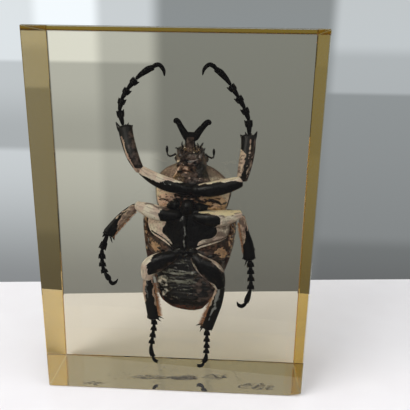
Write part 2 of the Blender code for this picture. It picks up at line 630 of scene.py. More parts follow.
def limb(maker, spine, wide, thick, rings=26, sides=18, face=TOWARD, ends=(0.08, 0.08), rough=0.0, **marks):
    """A tube along spine. marks such as pale and warm are functions of how far along a point is, which edge
    it is nearer (1 is the left edge to someone who walks along it, -1 the right), how much it faces the
    viewer, and its x and z."""
    t = np.linspace(0, 1, rings)
    t = t + np.sin(2 * math.pi * t) * -0.5 / (2 * math.pi)  # closer rings at both ends
    path = smooth(spine, t)
    run = np.gradient(path, axis=0)
    run /= np.linalg.norm(run, axis=1, keepdims=True)
    left = np.cross(np.array(face), run)
    left /= np.linalg.norm(left, axis=1, keepdims=True)
    front = np.cross(run, left)
    cap = rounded(t / ends[0]) * rounded((1 - t) / ends[1])
    turn = np.linspace(0, 2 * math.pi, sides, endpoint=False)
    edge, facing = np.cos(turn)[None, :], np.sin(turn)[None, :]
    w = (smooth(wide, t)[:, 0] / 2 * cap)[:, None]
    h = (smooth(thick, t)[:, 0] / 2 * cap)[:, None]
    aside = left[:, None, :] * (w * edge)[..., None]
    grid = path[:, None, :] + aside + front[:, None, :] * (h * facing)[..., None]
    if rough:
        flat = grid.reshape(-1, 3)
        grid = (flat + (bumpy(flat, 1.1) * rough)[:, None] * np.array([0.5, 1, 0.5])).reshape(grid.shape)
    flat = grid.reshape(-1, 3) * np.array([1, 0.4, 1])
    along = np.repeat(t[:, None], sides, axis=1)
    wavy = bumpy(flat, 2.1, maker.count * 0.01).reshape(along.shape)
    strayed = bumpy(flat, 3.3, 5 + maker.count * 0.01).reshape(along.shape)
    spot = (along + strayed * 0.06, edge + wavy * 0.30, facing + along * 0,
            grid[..., 0] + wavy * 0.9, grid[..., 2] + strayed * 0.9)
    values = {key: rule(*spot) for key, rule in marks.items()}
    length = np.linalg.norm(np.diff(path, axis=0), axis=1).sum()
    lengthwise = t[:, None] * length * LAY_SHARE + edge * 0 + maker.count * LAY_SHIFT
    lay = np.stack([w * edge, h * facing, lengthwise], axis=-1)
    maker.rings(grid, lay=lay, **values)
    return grid


trial = limb(Maker("trial"), ((0, 0, 0), (0, 0, 10)), (2, 2), (2, 2))
print("a limb has", trial.shape[0], "rings of", trial.shape[1], "points")

# %% [markdown]
# ## Plates
# The armour is made of shields, thin at the rim and domed. They could be cut from one solid body, but
# then their edges wouldn't overlap as the real ones do. A plate is given here by a few rows, each with
# its height and its left and right border. Its front rises before the rim and its back lies behind the
# rim, so that every plate is closed.

# %% Plates
TRUNK_TURN, TRUNK_X = 0.105, 5.5  # the body is turned a little about its long axis


def plate(maker, rows, seam, rise, drop, side=1.2, ends=(1.2, 1.2), back_side=None, back_ends=None, cols=44,
          lines=44, relief=None, sweep=None, **marks):
    """A closed pillow. rows are (z, left x, right x), seam(x, z) is the depth of its rim, rise how far its
    front stands before the rim and drop how far its back lies behind it. side and ends are how wide the
    rounding is at the sides (one number or a pair) and at both ends. sweep bends it along z."""
    t = (1 - np.cos(np.linspace(0, math.pi, lines))) / 2
    s = (1 - np.cos(np.linspace(0, math.pi, cols))) / 2
    z, low, high = smooth(rows, t).T
    low, high = np.minimum(low, high - 0.02), np.maximum(high, low + 0.02)
    x = low[:, None] + (high - low)[:, None] * s[None, :]
    near, far = np.abs(z - z[0])[:, None], np.abs(z - z[-1])[:, None]
    z = np.repeat(z[:, None], cols, axis=1)
    left_gap, right_gap = x - low[:, None], high[:, None] - x

    def crown(width, pair):
        left, right = (width, width) if isinstance(width, (int, float)) else width
        across = rounded(left_gap / left) * rounded(right_gap / right)
        return across * rounded(near / pair[0]) * rounded(far / pair[1])

    front = crown(side, ends)
    back = crown(back_side or side, back_ends or ends)
    rim = seam(x, z)
    fore, aft = rim - rise * front, rim + drop * back
    if relief is not None:
        fore = fore - relief(x, z) * front
    lean = -TRUNK_TURN * (x - TRUNK_X)
    lift = 0 if sweep is None else sweep(x, z)
    top = np.stack([x + TRUNK_TURN * (fore - rim), fore + lean, z + lift], axis=-1)
    under = np.stack([x + TRUNK_TURN * (aft - rim), aft + lean, z + lift], axis=-1)
    grid = np.concatenate([top, under[:, -2:0:-1]], axis=1)
    border = np.minimum(np.minimum(left_gap, right_gap), np.minimum(near, far) + x * 0)
    values = {}
    for key, rule in marks.items():
        on_top = rule(top[..., 0], top[..., 2], border) + x * 0
        values[key] = np.concatenate([on_top, on_top[:, -2:0:-1]], axis=1)
    maker.rings(grid, **values)


print("the body is turned by", round(math.degrees(TRUNK_TURN), 1), "degrees")

# %% [markdown]
# ## Marks on a plate
# Plates carry patches with frayed borders, grooves, pale dabs and speckles. An image could hold them, but
# somebody would have to paint it. The distance to an outline or to a line in millimetres is worked out at
# every point of the mesh instead, so that a mark can be moved by changing a number.

# %% Marks on a plate
def gap_to(path, p):
    """How far each point of p is from the line through the points of path."""
    start, run = path[:-1], np.diff(path, axis=0)
    share = np.clip(((p[:, None] - start) * run).sum(-1) / np.maximum((run**2).sum(-1), 1e-9), 0, 1)
    return np.linalg.norm(p[:, None] - start - share[..., None] * run, axis=-1).min(1)


def inside(outline, x, z, fray=0.25):
    """1 inside a smooth closed outline, 0 outside, and between them a border fray millimetres wide. A point
    is inside if a line from it to the right crosses the outline an odd number of times."""
    closed = np.array(outline + outline[:1], float)
    line = smooth(closed, np.linspace(0, 1, 12 * len(outline)))
    a, b = line[:-1], line[1:]
    p = np.stack([np.ravel(x), np.ravel(z)], axis=1)
    gap = gap_to(line, p)
    crossed = (a[:, 1] > p[:, None, 1]) != (b[:, 1] > p[:, None, 1])
    with np.errstate(divide="ignore", invalid="ignore"):
        at = a[:, 0] + (p[:, None, 1] - a[:, 1]) / (b[:, 1] - a[:, 1]) * (b - a)[:, 0]
    within = (crossed & (p[:, None, 0] < at)).sum(1) % 2
    return ease(-fray, fray, np.where(within, gap, -gap)).reshape(np.shape(x))


def groove(line, width, x, z):
    """1 on a line through the given points, falling to 0 about width millimetres away."""
    path = smooth(line, np.linspace(0, 1, 10 * len(line)))
    gap = gap_to(path, np.stack([np.ravel(x), np.ravel(z)], axis=1))
    return np.exp(-((gap / width) ** 2)).reshape(np.shape(x))


def dab(x, z, at, size, power=2):
    """1 at one place, falling to 0 about size millimetres away. A higher power gives it a flatter top."""
    return np.exp(-(((x - at[0]) / size[0]) ** power + ((z - at[1]) / size[1]) ** power))


def speckle(x, z, size, seed):
    """Noise from -1 to 1 over the plane of a plate."""
    return bumpy(np.stack([x, z, z * 0], -1).reshape(-1, 3), size, seed).reshape(np.shape(x))


def flat_at(depth):
    return lambda x, z: depth + x * 0


square = ((0, 0), (4, 0), (4, 4), (0, 4))
print("inside and outside a square:", inside(square, np.array([2.0, 9.0]), np.array([2.0, 2.0])))

# %% [markdown]
# ## The wing covers
# A flower beetle's back is a low dome of three big pieces: two wing covers that meet along the middle and
# the pronotum before them. Their widest line, the rim, is what shows around the body from below. One half
# could be mirrored, but the animal lies a little turned, so both halves are cut from rows of the whole
# back. Each is a plate whose back bulges far more than its front.

# %% Wing covers
RIM = 3.0  # depth of the body's widest line behind the middle of the block
COVER_ROWS = ((84.5, -13.6, 24.6), (80, -15.6, 26.6), (74, -15.6, 26.5), (68, -15.2, 25.8),
              (62, -14.6, 24.4),
              (56, -13.2, 22.4), (50, -10.8, 20.0), (45, -8.0, 17.5), (41, -4.5, 14.5), (38, 0.0, 10.0))


def cover_marks(x, z, border):
    return ease(0.05, 0.35, speckle(x, z, 2.3, 3.1)) * ease(3.4, 0.6, border) * 0.85


for name, left, seam_side in (("wing_cover_left", True, (13, 0.7)), ("wing_cover_right", False, (0.7, 13))):
    cover = Maker(name)
    rows = [(z, a, (a + b) / 2 - 0.06) if left else (z, (a + b) / 2 + 0.06, b) for z, a, b in COVER_ROWS]
    plate(cover, rows, flat_at(RIM), 0.9, 10.0, side=(0.8, 0.8), ends=(1, 1), back_side=seam_side,
          back_ends=(5, 17), pale=cover_marks, lines=60)
    cover.finish("wing")
print("wing covers", round(COVER_ROWS[0][2] - COVER_ROWS[0][1], 1), "mm wide at the shoulders")

# %% [markdown]
# ## The pronotum and the scutellum
# The pronotum is the shield of the first part of the chest. Its back is cream with three dark stripes,
# and the collar that shows around the neck is dull and brownish. The scutellum is the small triangle
# between the wing covers. Both are plates again, since they share the rim of the wing covers; the stripes
# are part of the rule for `pale`, because separate strips of mesh would stand out from the shield.

# %% Pronotum and scutellum
PRONOTUM_ROWS = ((105.4, 2.6, 10.4), (104.5, -0.9, 12.7), (102.6, -4.9, 16.6), (100.0, -7.8, 20.0),
                 (97.0, -9.5, 22.8), (94.0, -9.9, 24.0), (91.0, -9.85, 23.9), (88.0, -9.6, 23.1),
                 (85.5, -9.0, 22.4), (83.6, -7.4, 20.6))


def pronotum_pale(x, z, border):
    bands = sum(np.exp(-(((x - middle) / 0.85) ** 4)) for middle in (1.6, 6.7, 11.8))
    stripes = bands * ease(103.5, 101.5, z)
    scales = 0.80 + 0.6 * speckle(x, z, 1.0, 9.0) * ease(96, 100, z)
    return ease(0.30, 0.7, border) * scales * (1 - np.clip(stripes, 0, 1))


def pronotum_dull(x, z, border):
    return 0.8 * ease(96, 100, z) + 0.5 * ease(0.9, 0.3, border)


pronotum = Maker("pronotum")
plate(pronotum, PRONOTUM_ROWS, flat_at(RIM), 3.8, 10.2, side=7.0, ends=(7, 3), back_side=13,
      back_ends=(12, 2.5),
      pale=pronotum_pale, dull=pronotum_dull, lines=56, cols=56)
pronotum.finish("flange")
scutellum = Maker("scutellum")
plate(scutellum, ((85.5, 2.0, 11.5), (83.0, 2.8, 10.7), (80.0, 4.3, 9.0), (77.0, 5.9, 7.4)), flat_at(11.2),
      0.6, 1.6,
      side=1.2, ends=(1, 1), lines=20, cols=20)
scutellum.finish("wing")
print(pronotum.name, "of", pronotum.count, "points,", scutellum.name, "of", scutellum.count)

# %% [markdown]
# ## The front of the chest
# From the neck to the waist the underside is a mosaic: skin folded around the neck, a brown prosternum
# between the front hips, and torn, folded skin behind it. Cloth simulation could fold the skin, but it
# would take long and end differently each time its settings change. Noise whose zero lines become sharp
# ridges gives folds at once, and the same noise paints their colour: cream on the ridges as painted light,
# dark in the valleys as painted shade.

# %% Prosternum, neck and folded skin
prosternum = Maker("prosternum")
plate(prosternum, ((103.0, 0.8, 12.4), (101.0, 0.2, 13.2), (98.5, -1.4, 14.4), (95.5, -3.0, 15.8),
                   (92.5, -1.5, 14.5),
                   (90.8, 1.5, 10.5)),
      flat_at(-1.2), 4.4, 4.0, side=3.2, ends=(2.2, 1.5), warm=lambda x, z, border: ease(95, 100, z),
      relief=lambda x, z: 0.5 * groove(((6.4, 103), (6.4, 98), (6.3, 93)), 0.7, x, z) + 0.7
      * speckle(x, z, 1.6, 3.0),
      pale=lambda x, z, border: 0.8 * ease(0.25, 0.5, speckle(x, z, 1.5, 6.0)) * ease(97.5, 99, z),
      dull=lambda x, z, border: 0.8 * ease(-0.1, 0.3, speckle(x, z, 2.4, 2.0)) * ease(96, 98, z))
prosternum.finish("head")


def folds(size, depth, seed):
    def relief(x, z):
        return depth * (1 - 2.8 * np.abs(speckle(x, z * 1.7, size, seed)))
    return relief


def neck_pale_and_fold_shade(x, z, border):
    rim = groove(((2.2, 105.7), (0.6, 102.8), (-1.8, 99.3)), 0.5, x, z)
    patch = dab(x, z, (4.0, 102.3), (1.3, 2.4))
    # Painted light and shade: the fold height makes the ridges paler and the valleys darker.
    ridges = folds(2.6, 1.0, 4.0)(x, z)
    return rim + 0.9 * patch - 0.3 + 0.5 * ridges - 0.8 * ease(8, 10, x) * ease(99, 101, z)


neck_skin = Maker("neck_skin")
plate(neck_skin, ((106.2, 0.8, 12.2), (104.6, -0.1, 12.9), (102.4, 0.1, 12.8), (100.4, -0.9, 13.7),
                  (98.6, -2.2, 14.2)),
      flat_at(-0.5), 4.6, 4.5, side=1.6, ends=(1.5, 1.5), relief=folds(2.6, 0.9, 4.0),
      pale=neck_pale_and_fold_shade,
      warm=lambda x, z, border: ease(3, 0, x) * ease(102, 99, z))
neck_skin.finish("membrane")
waist_ridges = folds(3.0, 1.0, 7.3)
waist_creases = folds(1.5, 1.0, 2.9)


def waist_pale_and_fold_shade(x, z, border):
    left, right = ease(0.5, -2.5, x), ease(9.0, 13.0, x)
    # Painted shadow: dark lines along two creases.
    crease_shadow = groove(((-10.0, 90.2), (-6.0, 89.6), (-3.0, 88.2), (0.0, 86.6)), 0.45, x, z)
    crease_shadow = crease_shadow + groove(((12.0, 88.8), (16.0, 89.8), (20.0, 88.0), (23.0, 88.4)), 0.5, x, z)
    # Painted light and shade: the fold height lightens the ridges and darkens the valleys.
    height = 0.45 * waist_ridges(x, z) + 0.55 * waist_creases(x, z)
    blob = dab(x, z, (-7.6, 87.6), (1.7, 1.1))
    return height * 1.9 + left * 0.55 + right * 0.15 + 0.8 * blob - 0.9 * (1 - left - right) - 1.6 * crease_shadow


waist_skin = Maker("folded_skin_behind_front_hips")
plate(waist_skin, ((92.2, -4.5, 17.5), (90.2, -8.2, 20.8), (88.0, -8.8, 22.2), (85.6, -8.0, 22.0),
                   (83.4, -6.5, 20.4),
                   (82.0, -3.0, 18.0)),
      flat_at(1.5), 6.0, 3.0, side=5.0, ends=(2.5, 2.0), cols=90, lines=60, pale=waist_pale_and_fold_shade,
      relief=lambda x, z: 1.3 * waist_ridges(x, z) + 0.6 * waist_creases(x, z),
      warm=lambda x, z, border: ease(2.0, 12.0, x) * (0.75 + 0.4 * speckle(x, z, 2.2, 8.0)))
waist_skin.finish("membrane")
print("front of the chest:", prosternum.count + neck_skin.count + waist_skin.count, "points")

# %% [markdown]
# ## The mesosternum
# Between the middle legs a blunt process points forward, with a rounded lobe at each side. It could be a
# bulge of the plate behind it, but it stands out so far that bent limbs fit it better.

# %% Mesosternum
process = Maker("mesosternal_process")
limb(process, ((4.8, -6.5, 83.0), (4.8, -8.6, 86.0), (4.9, -8.9, 88.4), (4.9, -7.6, 90.0)),
     (6.6, 5.6, 4.6, 3.4),
     (4, 4.4, 3.6, 2.6), ends=(0.2, 0.25))
limb(process, ((-4.0, -5.4, 86.4), (-0.5, -6.9, 87.6), (1.6, -7.2, 87.2)), (3.0, 4.4, 3.4), (3, 4, 3),
     ends=(0.3, 0.3),
     rough=0.5)
limb(process, ((14.0, -5.6, 86.0), (10.5, -6.9, 86.8), (8.0, -7.2, 86.4)), (2.6, 3.8, 3.4), (3, 4, 3),
     ends=(0.3, 0.3),
     rough=0.5)
process.finish("shell")
print(process.name, "of", process.count, "points")

# %% [markdown]
# ## The metasternum
# The metasternum is the largest plate of the underside: shining black in the middle and cream at both
# sides, with a groove down its middle and a raised ridge along each hind border. A grey highlight is
# painted along the groove, and each ridge is a pale line with a painted shadow beside it. The black heart
# could be a second mesh. As an outline in millimetres it stays part of one smooth plate, and noise can fray
# its border. Seven small lumps between the hind hips follow it, each with a painted grey highlight on one
# side.

# %% Metasternum
METASTERNUM_ROWS = ((85.6, -3.5, 13.5), (83.6, -9.4, 19.6), (81.2, -12.4, 22.8), (78.6, -13.1, 23.7),
                    (76.0, -12.9, 23.8), (74.0, -12.0, 23.3), (72.4, -10.2, 22.4), (71.0, -7.4, 19.6),
                    (69.6, -4.9, 15.4), (68.2, -2.7, 11.6), (66.8, -1.2, 8.9), (66.0, 0.6, 6.8))
BLACK_HEART = ((-7.1, 87.0), (-7.3, 81.3), (-4.6, 79.5), (-5.8, 76.4), (-6.1, 74.2), (-3.8, 72.3),
               (-1.9, 70.0),
               (0.0, 66.0), (4.0, 64.0), (8.0, 66.5), (10.3, 71.0), (13.1, 72.2), (16.2, 72.9),
               (18.2, 75.0),
               (17.9, 77.6), (19.1, 79.2), (19.8, 83.0), (16.0, 88.0))


def belly(x, z):
    """Depth of the chest's underside: lowest in the middle, rising to both sides."""
    return -8.6 + 5.6 * np.abs((x - 5.5) / 18.5) ** 2.6


RIDGE_LEFT = ((-11.4, 73.2), (-8.6, 72.0), (-5.2, 70.3), (-2.6, 68.2), (-1.7, 66.4))
RIDGE_RIGHT = ((22.8, 72.2), (19.4, 71.0), (15.4, 69.9), (11.6, 68.7), (8.8, 67.5))


def chest_pale(x, z, border):
    ridge = groove(RIDGE_LEFT, 0.32, x, z) + groove(RIDGE_RIGHT, 0.32, x, z)
    # Painted shadow: a dark line just inside each pale hind ridge.
    ridge_shadow = sum(groove([(a + 0.15, b + 1.0) for a, b in line], 0.45, x, z)
                 for line in (RIDGE_LEFT, RIDGE_RIGHT))
    return np.maximum(1 - inside(BLACK_HEART, x, z, 0.5) - 0.8 * ridge_shadow, 1.3 * ridge)


def chest_dull(x, z, border):
    right = ease(8.0, 13.0, x) * (0.80 + 0.5 * speckle(x * 0.5, z, 1.6, 4.0))
    low_left = ease(74.0, 70.5, z) * ease(0, -1.5, x) * 0.45
    ridge = groove(RIDGE_LEFT, 0.5, x, z) + groove(RIDGE_RIGHT, 0.5, x, z)
    return (right + low_left) * (1 - inside(BLACK_HEART, x, z, 0.4)) * (1 - 0.8 * ridge)


def chest_painted_glint(x, z, border):
    # Painted highlights: a grey streak beside the middle groove and grey flecks at the right side.
    line = groove(((3.6, 78.0), (4.2, 75.4), (3.5, 72.0), (3.9, 68.6)), 0.42, x, z)
    streak = line * (0.75 + 0.6 * speckle(x, z, 1.2, 5.0))
    sides = 0.55 * ease(0.35, 0.55, speckle(x, z * 0.5, 0.9, 2.0)) * ease(20.5, 22.5, x)
    return streak + sides


def chest_relief(x, z):
    middle = groove(((4.9, 82.0), (4.9, 77.0), (4.7, 72.0), (4.6, 67.0)), 0.45, x, z)
    swell = groove(((3.0, 80.0), (3.4, 74.0), (3.6, 68.5)), 3.4, x, z)
    dents = sum(np.exp(-((x - a) ** 2 + (z - b) ** 2) / 0.2) for a,
                b in ((-9.2, 80.2), (-8.9, 78.3), (-8.3, 79.3)))
    return 0.7 * swell - 1.0 * middle - 0.5 * dents + 0.25 * speckle(x, z, 2.6, 1.0)


metasternum = Maker("metasternum")
plate(metasternum, METASTERNUM_ROWS, lambda x, z: belly(x, z) + 1.0, 1.0, 5.0, side=1.0, ends=(1.2, 1.2),
      relief=chest_relief, pale=chest_pale, dull=chest_dull, film=chest_painted_glint, cols=110, lines=90,
      back_side=0.5,
      back_ends=(0.6, 0.6))
metasternum.finish("thigh", "black_cuticle")
hip_lumps = Maker("hind_hip_lumps")
LUMPS = ((1.2, 67.2, 2.0), (3.2, 66.4, 1.7), (5.2, 66.6, 1.8), (7.0, 67.4, 1.9), (2.4, 65.0, 1.6),
         (4.6, 64.6, 1.5), (6.4, 65.2, 1.5))
for x, z, wide in LUMPS:
    limb(hip_lumps, ((x - wide / 2, -8.8, z - 0.3), (x, -9.6, z), (x + wide / 2, -8.8, z + 0.3)),
         (wide * 0.8,) * 3,
         (1.6, 1.9, 1.6), ends=(0.5, 0.5), rings=12, sides=12,
         # Painted highlight: grey on one front flank of each lump.
         film=lambda t, e, f, x, z: 0.5 * ease(0.2, 0.5, f * e))
hip_lumps.finish("shell")
print(metasternum.name, "of", metasternum.count, "points,", hip_lumps.name, "of", hip_lumps.count)

# %% [markdown]
# ## The side strips of the chest
# Beside the metasternum a narrow plate closes the body wall at each side, brown and dusted with pale
# scales. One could be the mirror image of the other, but the animal lies a little turned, so one loop
# makes both from rows of their own.

# %% Side strips of the chest
for name, rows in (
    ("metepisternum_left", ((83.0, -14.6, -11.6), (79.0, -15.4, -12.7), (75.0, -15.4, -12.6),
                            (71.0, -15.1, -11.0),
                            (67.0, -14.7, -11.5), (64.0, -14.2, -12.5))),
    ("metepisternum_right", ((82.0, 22.4, 25.8), (78.5, 23.4, 26.4), (75.0, 23.4, 26.3), (71.0, 22.6, 26.0),
                             (67.0, 22.9, 25.4), (63.0, 23.0, 24.6))),
):
    strip = Maker(name)
    plate(strip, rows, flat_at(1.2), 3.4, 2.2, side=1.4, ends=(1.5, 1.5), relief=folds(1.7, 0.5, 2.0),
          pale=lambda x, z, border: ease(0.0, 0.4, speckle(x, z * 0.6, 0.9, 5.0)),
          film=lambda x, z, border: ease(0.25, 0.5, speckle(x, z * 0.4, 0.7, 1.0)),
          warm=lambda x, z, border: 0.75)
    strip.finish("hips")
    print(strip.name, "of", strip.count, "points")

# %% [markdown]
# ## The hind hip plates
# A beetle's hind hips are broad plates that are grown to the body, unlike the others. Each has a tan patch
# near its outer end. They could be limbs like the other hips, but from below they look like armour. So
# they are plates that follow the curve of the belly, a little deeper than the metasternum, whose hind
# ridge stands before them.

# %% Hind hip plates
TAN_LEFT = ((-13.6, 71.0), (-10.7, 70.9), (-7.8, 68.6), (-7.3, 66.2), (-9.5, 64.6), (-11.4, 66.0))
TAN_RIGHT = ((18.9, 68.1), (22.2, 67.4), (23.2, 64.6), (21.4, 62.8), (18.4, 63.4), (17.0, 65.7))
for name, rows, tan in (
    ("hind_coxa_left", ((72.6, -14.2, -11.6), (71.2, -14.6, -8.4), (69.6, -14.5, -5.6), (68.0, -14.2, -3.2),
                        (66.2, -13.6, -1.4), (64.4, -12.4, 0.6), (62.6, -9.0, 1.6)), TAN_LEFT),
    ("hind_coxa_right", ((72.2, 21.6, 24.6), (70.9, 17.6, 25.2), (69.4, 13.6, 25.2), (67.8, 10.4, 24.9),
                         (66.0, 8.4, 24.4), (64.0, 7.4, 23.6), (62.0, 8.0, 21.6)), TAN_RIGHT),
):
    coxa = Maker(name)
    plate(coxa, rows, lambda x, z: belly(x, z) + 2.2, 1.0, 4.4, side=1.4, ends=(1.2, 1.2),
          relief=folds(4.0, 0.35, 6.0),
          pale=lambda x, z, border, tan=tan: inside(tan, x, z, 1.0) * 0.62 + 0.34
          * ease(0.1, 0.5, speckle(x, z, 1.3, 3.0)),
          dull=lambda x, z, border: 0.5 * ease(0.0, 0.4, speckle(x * 0.5, z, 1.8, 7.0)),
          warm=lambda x, z, border: 0.5 + 0.6 * speckle(x, z, 2.0, 4.0))
    coxa.finish("hips")
    print(coxa.name, "of", coxa.count, "points")

# %% [markdown]
# ## The belly
# Six overlapping rings, each a shallow band whose hind border lies over the next, and the tail plate
# behind them. Their skin is smoky and shining, its borders rusty; the shine is painted on as grey-green
# reflection bands and spots. A mound of pale scales shows at the viewer's left. Grooves in one egg-shaped
# body would be simpler, but separate plates give the fine shadows where a ring lies over the next one.

# %% Belly rings
ABDOMEN_ROWS = ((66.0, -10.5, 21.5), (58.0, -10.8, 21.8), (53.0, -10.2, 21.3), (48.0, -9.5, 19.8),
                (44.0, -8.3, 17.3),
                (41.0, -6.8, 15.3), (38.5, -3.6, 13.2), (36.8, 0.0, 11.5), (35.9, 5.0, 8.5))
RING_BORDERS = (65.5, 60.4, 56.9, 53.6, 49.6, 45.6, 35.9)  # on the middle line


def abdomen_sides(z):
    line = smooth(ABDOMEN_ROWS, np.linspace(0, 1, 90))
    order = np.argsort(line[:, 0])
    return np.interp(z, line[order, 0], line[order, 1]), np.interp(z, line[order, 0], line[order, 2])


def belly_back(x, z):
    tip = np.clip((47 - z) / 11, 0, 1)
    return -7.9 + 4.4 * np.abs((x - 5.4) / 16) ** 2.4 + 3.4 * tip**2


def belly_warm(x, z, border):
    low, high = abdomen_sides(z)
    rim = ease(2.2, 0.5, np.minimum(x - low, high - x)) * ease(58, 54, z)
    tail = ease(39.8, 38.2, z)
    return np.clip(np.maximum(rim, tail) * 1.05, 0, 1)


def belly_pale(x, z, border):
    mound = dab(x, z, (-6.2, 49.2), (2.7, 6.4), power=4)
    notch = groove(((-9.0, 47.0), (-5.4, 47.7), (-2.6, 47.2)), 0.6, x, z)
    return mound * (0.52 + 0.6 * speckle(x * 0.7, z, 1.3, 1.7)) - 0.6 * notch


def belly_painted_glints(x, z, border):
    # Painted reflections: grey-green bands across the rings, a round spot, a thin glint and faint streaks.
    bands = np.exp(-(((z - 55.8) / 1.3) ** 4)) + np.exp(-(((z - 51.6) / 1.4) ** 4))
    bands = bands + 0.5 * np.exp(-(((z - 47.6) / 0.9) ** 2))
    across = ease(-9.0, -5.0, x) * ease(13.0, 4.0, x)
    spot = np.exp(-(((x - 3.5) ** 2 + (z - 60.4) ** 2) / 2.4))
    glint = np.exp(-(((x - 0.5) / 5) ** 2 + ((z - 43.2 + 0.02 * x * x) / 0.4) ** 2))
    fine = ease(-0.1, 0.3, speckle(x * 0.22, z, 0.9, 4.0))
    streaks = 0.30 * ease(-9.0, -6.0, x) * ease(17.0, 11.0, x) * fine
    painted_shine = np.clip(bands, 0, 1) * across * (0.58 + 0.9 * speckle(x * 0.3, z, 0.9, 9.0))
    return painted_shine + streaks + 0.5 * spot + 0.5 * glint


def belly_dull(x, z, border):
    right = ease(5.0, 11.0, x) * ease(39.0, 42.0, z) * (0.42 + 0.6 * speckle(x * 0.4, z, 1.2, 2.0))
    top = 0.45 * ease(62, 60, z) * ease(0.3, 0.6, speckle(x * 0.4, z, 1.3, 6.0))
    return right + top


for index, (top, low_z) in enumerate(zip(RING_BORDERS, RING_BORDERS[1:])):
    ring = Maker(f"belly_ring_{index + 1}")
    last = index == len(RING_BORDERS) - 2
    steps = np.linspace(top + 0.7, low_z, 9 if last else 5)
    left, right = abdomen_sides(steps)
    rows = list(zip(steps, left, right))
    plate(ring, rows, lambda x, z: belly_back(x, z) + 1.1, 1.1, 5.4, side=1.3,
          ends=(0.7, 2.4 if last else 0.8),
          back_side=0.8, back_ends=(0.8, 2.5 if last else 0.8), lines=34 if last else 22, cols=64,
          pale=belly_pale, warm=belly_warm, film=belly_painted_glints, dull=belly_dull,
          relief=lambda x, z: 0.30 * speckle(x * 0.5, z, 1.4, 8),
          sweep=None if last else (lambda x, z: 1.6 * np.abs((x - 5.4) / 16) ** 2 - 0.4))
    ring.finish("belly")
    print(ring.name, "from", top, "down to", low_z, "mm")
pygidium = Maker("tail_plate")
plate(pygidium, ((45.0, -6.4, 16.6), (42.0, -5.2, 15.2), (39.0, -2.6, 13.0), (37.2, 0.6, 11.2),
                 (36.3, 4.6, 8.6)),
      lambda x, z: 0.2 + x * 0, 1.0, 8.2, side=4.0, ends=(1.5, 5), warm=lambda x, z, border: 0.6,
      pale=lambda x, z, border: ease(0.1, 0.4, speckle(x, z, 2.0, 6.0)))
pygidium.finish("belly")

# %% [markdown]
# ## The head
# Seen from below the head is a short brown box with mouthparts: a plate in the middle, a folded lobe at
# each side of it, and a few short feelers. A plate and some limbs are enough, because the parts overlap so
# closely that only their lumps and colours can be told apart.

# %% Head capsule and mouthparts
head = Maker("head_capsule")
plate(head, ((113.4, 3.0, 9.4), (112.4, 1.0, 11.0), (111.2, -0.1, 11.8), (109.2, 0.1, 12.2),
             (107.0, 0.0, 12.6),
             (105.2, -0.3, 13.0), (103.8, 0.8, 12.2)),
      flat_at(-1.2), 3.8, 4.6, side=2.6, ends=(1.6, 1.4),
      warm=lambda x, z, border: 0.35 + 0.9 * speckle(x, z, 1.7, 5.0),
      relief=lambda x, z: 1.0 * speckle(x, z, 1.5, 2.0),
      # The dab beside the left eye is a painted highlight; the speckles are pale mottling.
      pale=lambda x, z, border: np.maximum(dab(x, z, (0.5, 107.2), (0.9, 1.3)),
                                           0.75 * ease(0.3, 0.55, speckle(x, z, 1.1, 1.3))),
      dull=lambda x, z, border: 1.0 * ease(-0.2, 0.2, speckle(x, z, 1.3, 8.0)))
head.finish("head")
mouth = Maker("mouthparts")
plate(mouth, ((111.0, 4.6, 8.4), (109.6, 3.4, 9.6), (107.6, 3.0, 10.0), (105.4, 3.6, 9.4),
              (104.4, 4.4, 8.6)),
      flat_at(-4.6), 1.6, 2.0, side=1.1, ends=(0.8, 0.8),
      warm=lambda x, z, border: 0.3 + speckle(x, z, 1.4, 3.0),
      dull=lambda x, z, border: dab(x, z, (7.0, 108.6), (2.6, 2.2)) * 0.9,
      pale=lambda x, z, border: 0.7 * ease(0.35, 0.6, speckle(x, z, 1.0, 4.0)),
      relief=lambda x, z: 0.7 * speckle(x, z, 1.3, 6.0))
for a, b in ((2.9, 1.5), (9.7, 10.9)):
    limb(mouth, ((a, -5.0, 106.4), ((a + b) / 2, -5.8, 108.8), (b, -5.0, 111.2),
                 ((a + b) / 2, -4.4, 112.6)),
         (1.4, 2.2, 1.8, 1.2), (1.6, 2.0, 1.6, 1.2), ends=(0.3, 0.3), rings=18, sides=12, rough=0.6,
         warm=lambda t, *_: 0.4 + t * 0, dull=lambda t, e, f, x, z: 0.8
         * ease(0.1, 0.4, speckle(x, z, 0.9, 2.0)))
for points, width in (
    (((3.1, -4.6, 112.4), (2.3, -4.8, 113.7), (2.5, -4.6, 115.2)), 0.55),
    (((9.9, -4.6, 112.0), (10.6, -4.8, 113.4), (11.4, -4.7, 114.8)), 0.7),
    (((9.0, -4.6, 112.2), (9.3, -5.0, 113.4), (8.7, -4.8, 114.7)), 0.5),
    (((10.8, -4.6, 111.2), (11.8, -4.8, 111.6), (12.2, -4.6, 112.6)), 0.5),
    (((0.8, -4.4, 111.6), (0.0, -4.6, 112.2), (-0.6, -4.4, 112.0)), 0.5),
):
    limb(mouth, points, (width, width * 1.2, width * 0.9), (width, width, width * 0.8), ends=(0.2, 0.3),
         rings=12, sides=8)
mouth.finish("head")
print(head.name, "of", head.count, "points,", mouth.name, "of", mouth.count)

# %% [markdown]
# ## Eyes and antennae
# The eyes swell out at both sides of the head. Each antenna is a long first joint, an elbow, four small
# joints and a club of three leaves that lie on each other. Balls and a bent wire would be simpler. Limbs
# are used again, so that the joints taper and the leaves are flat.

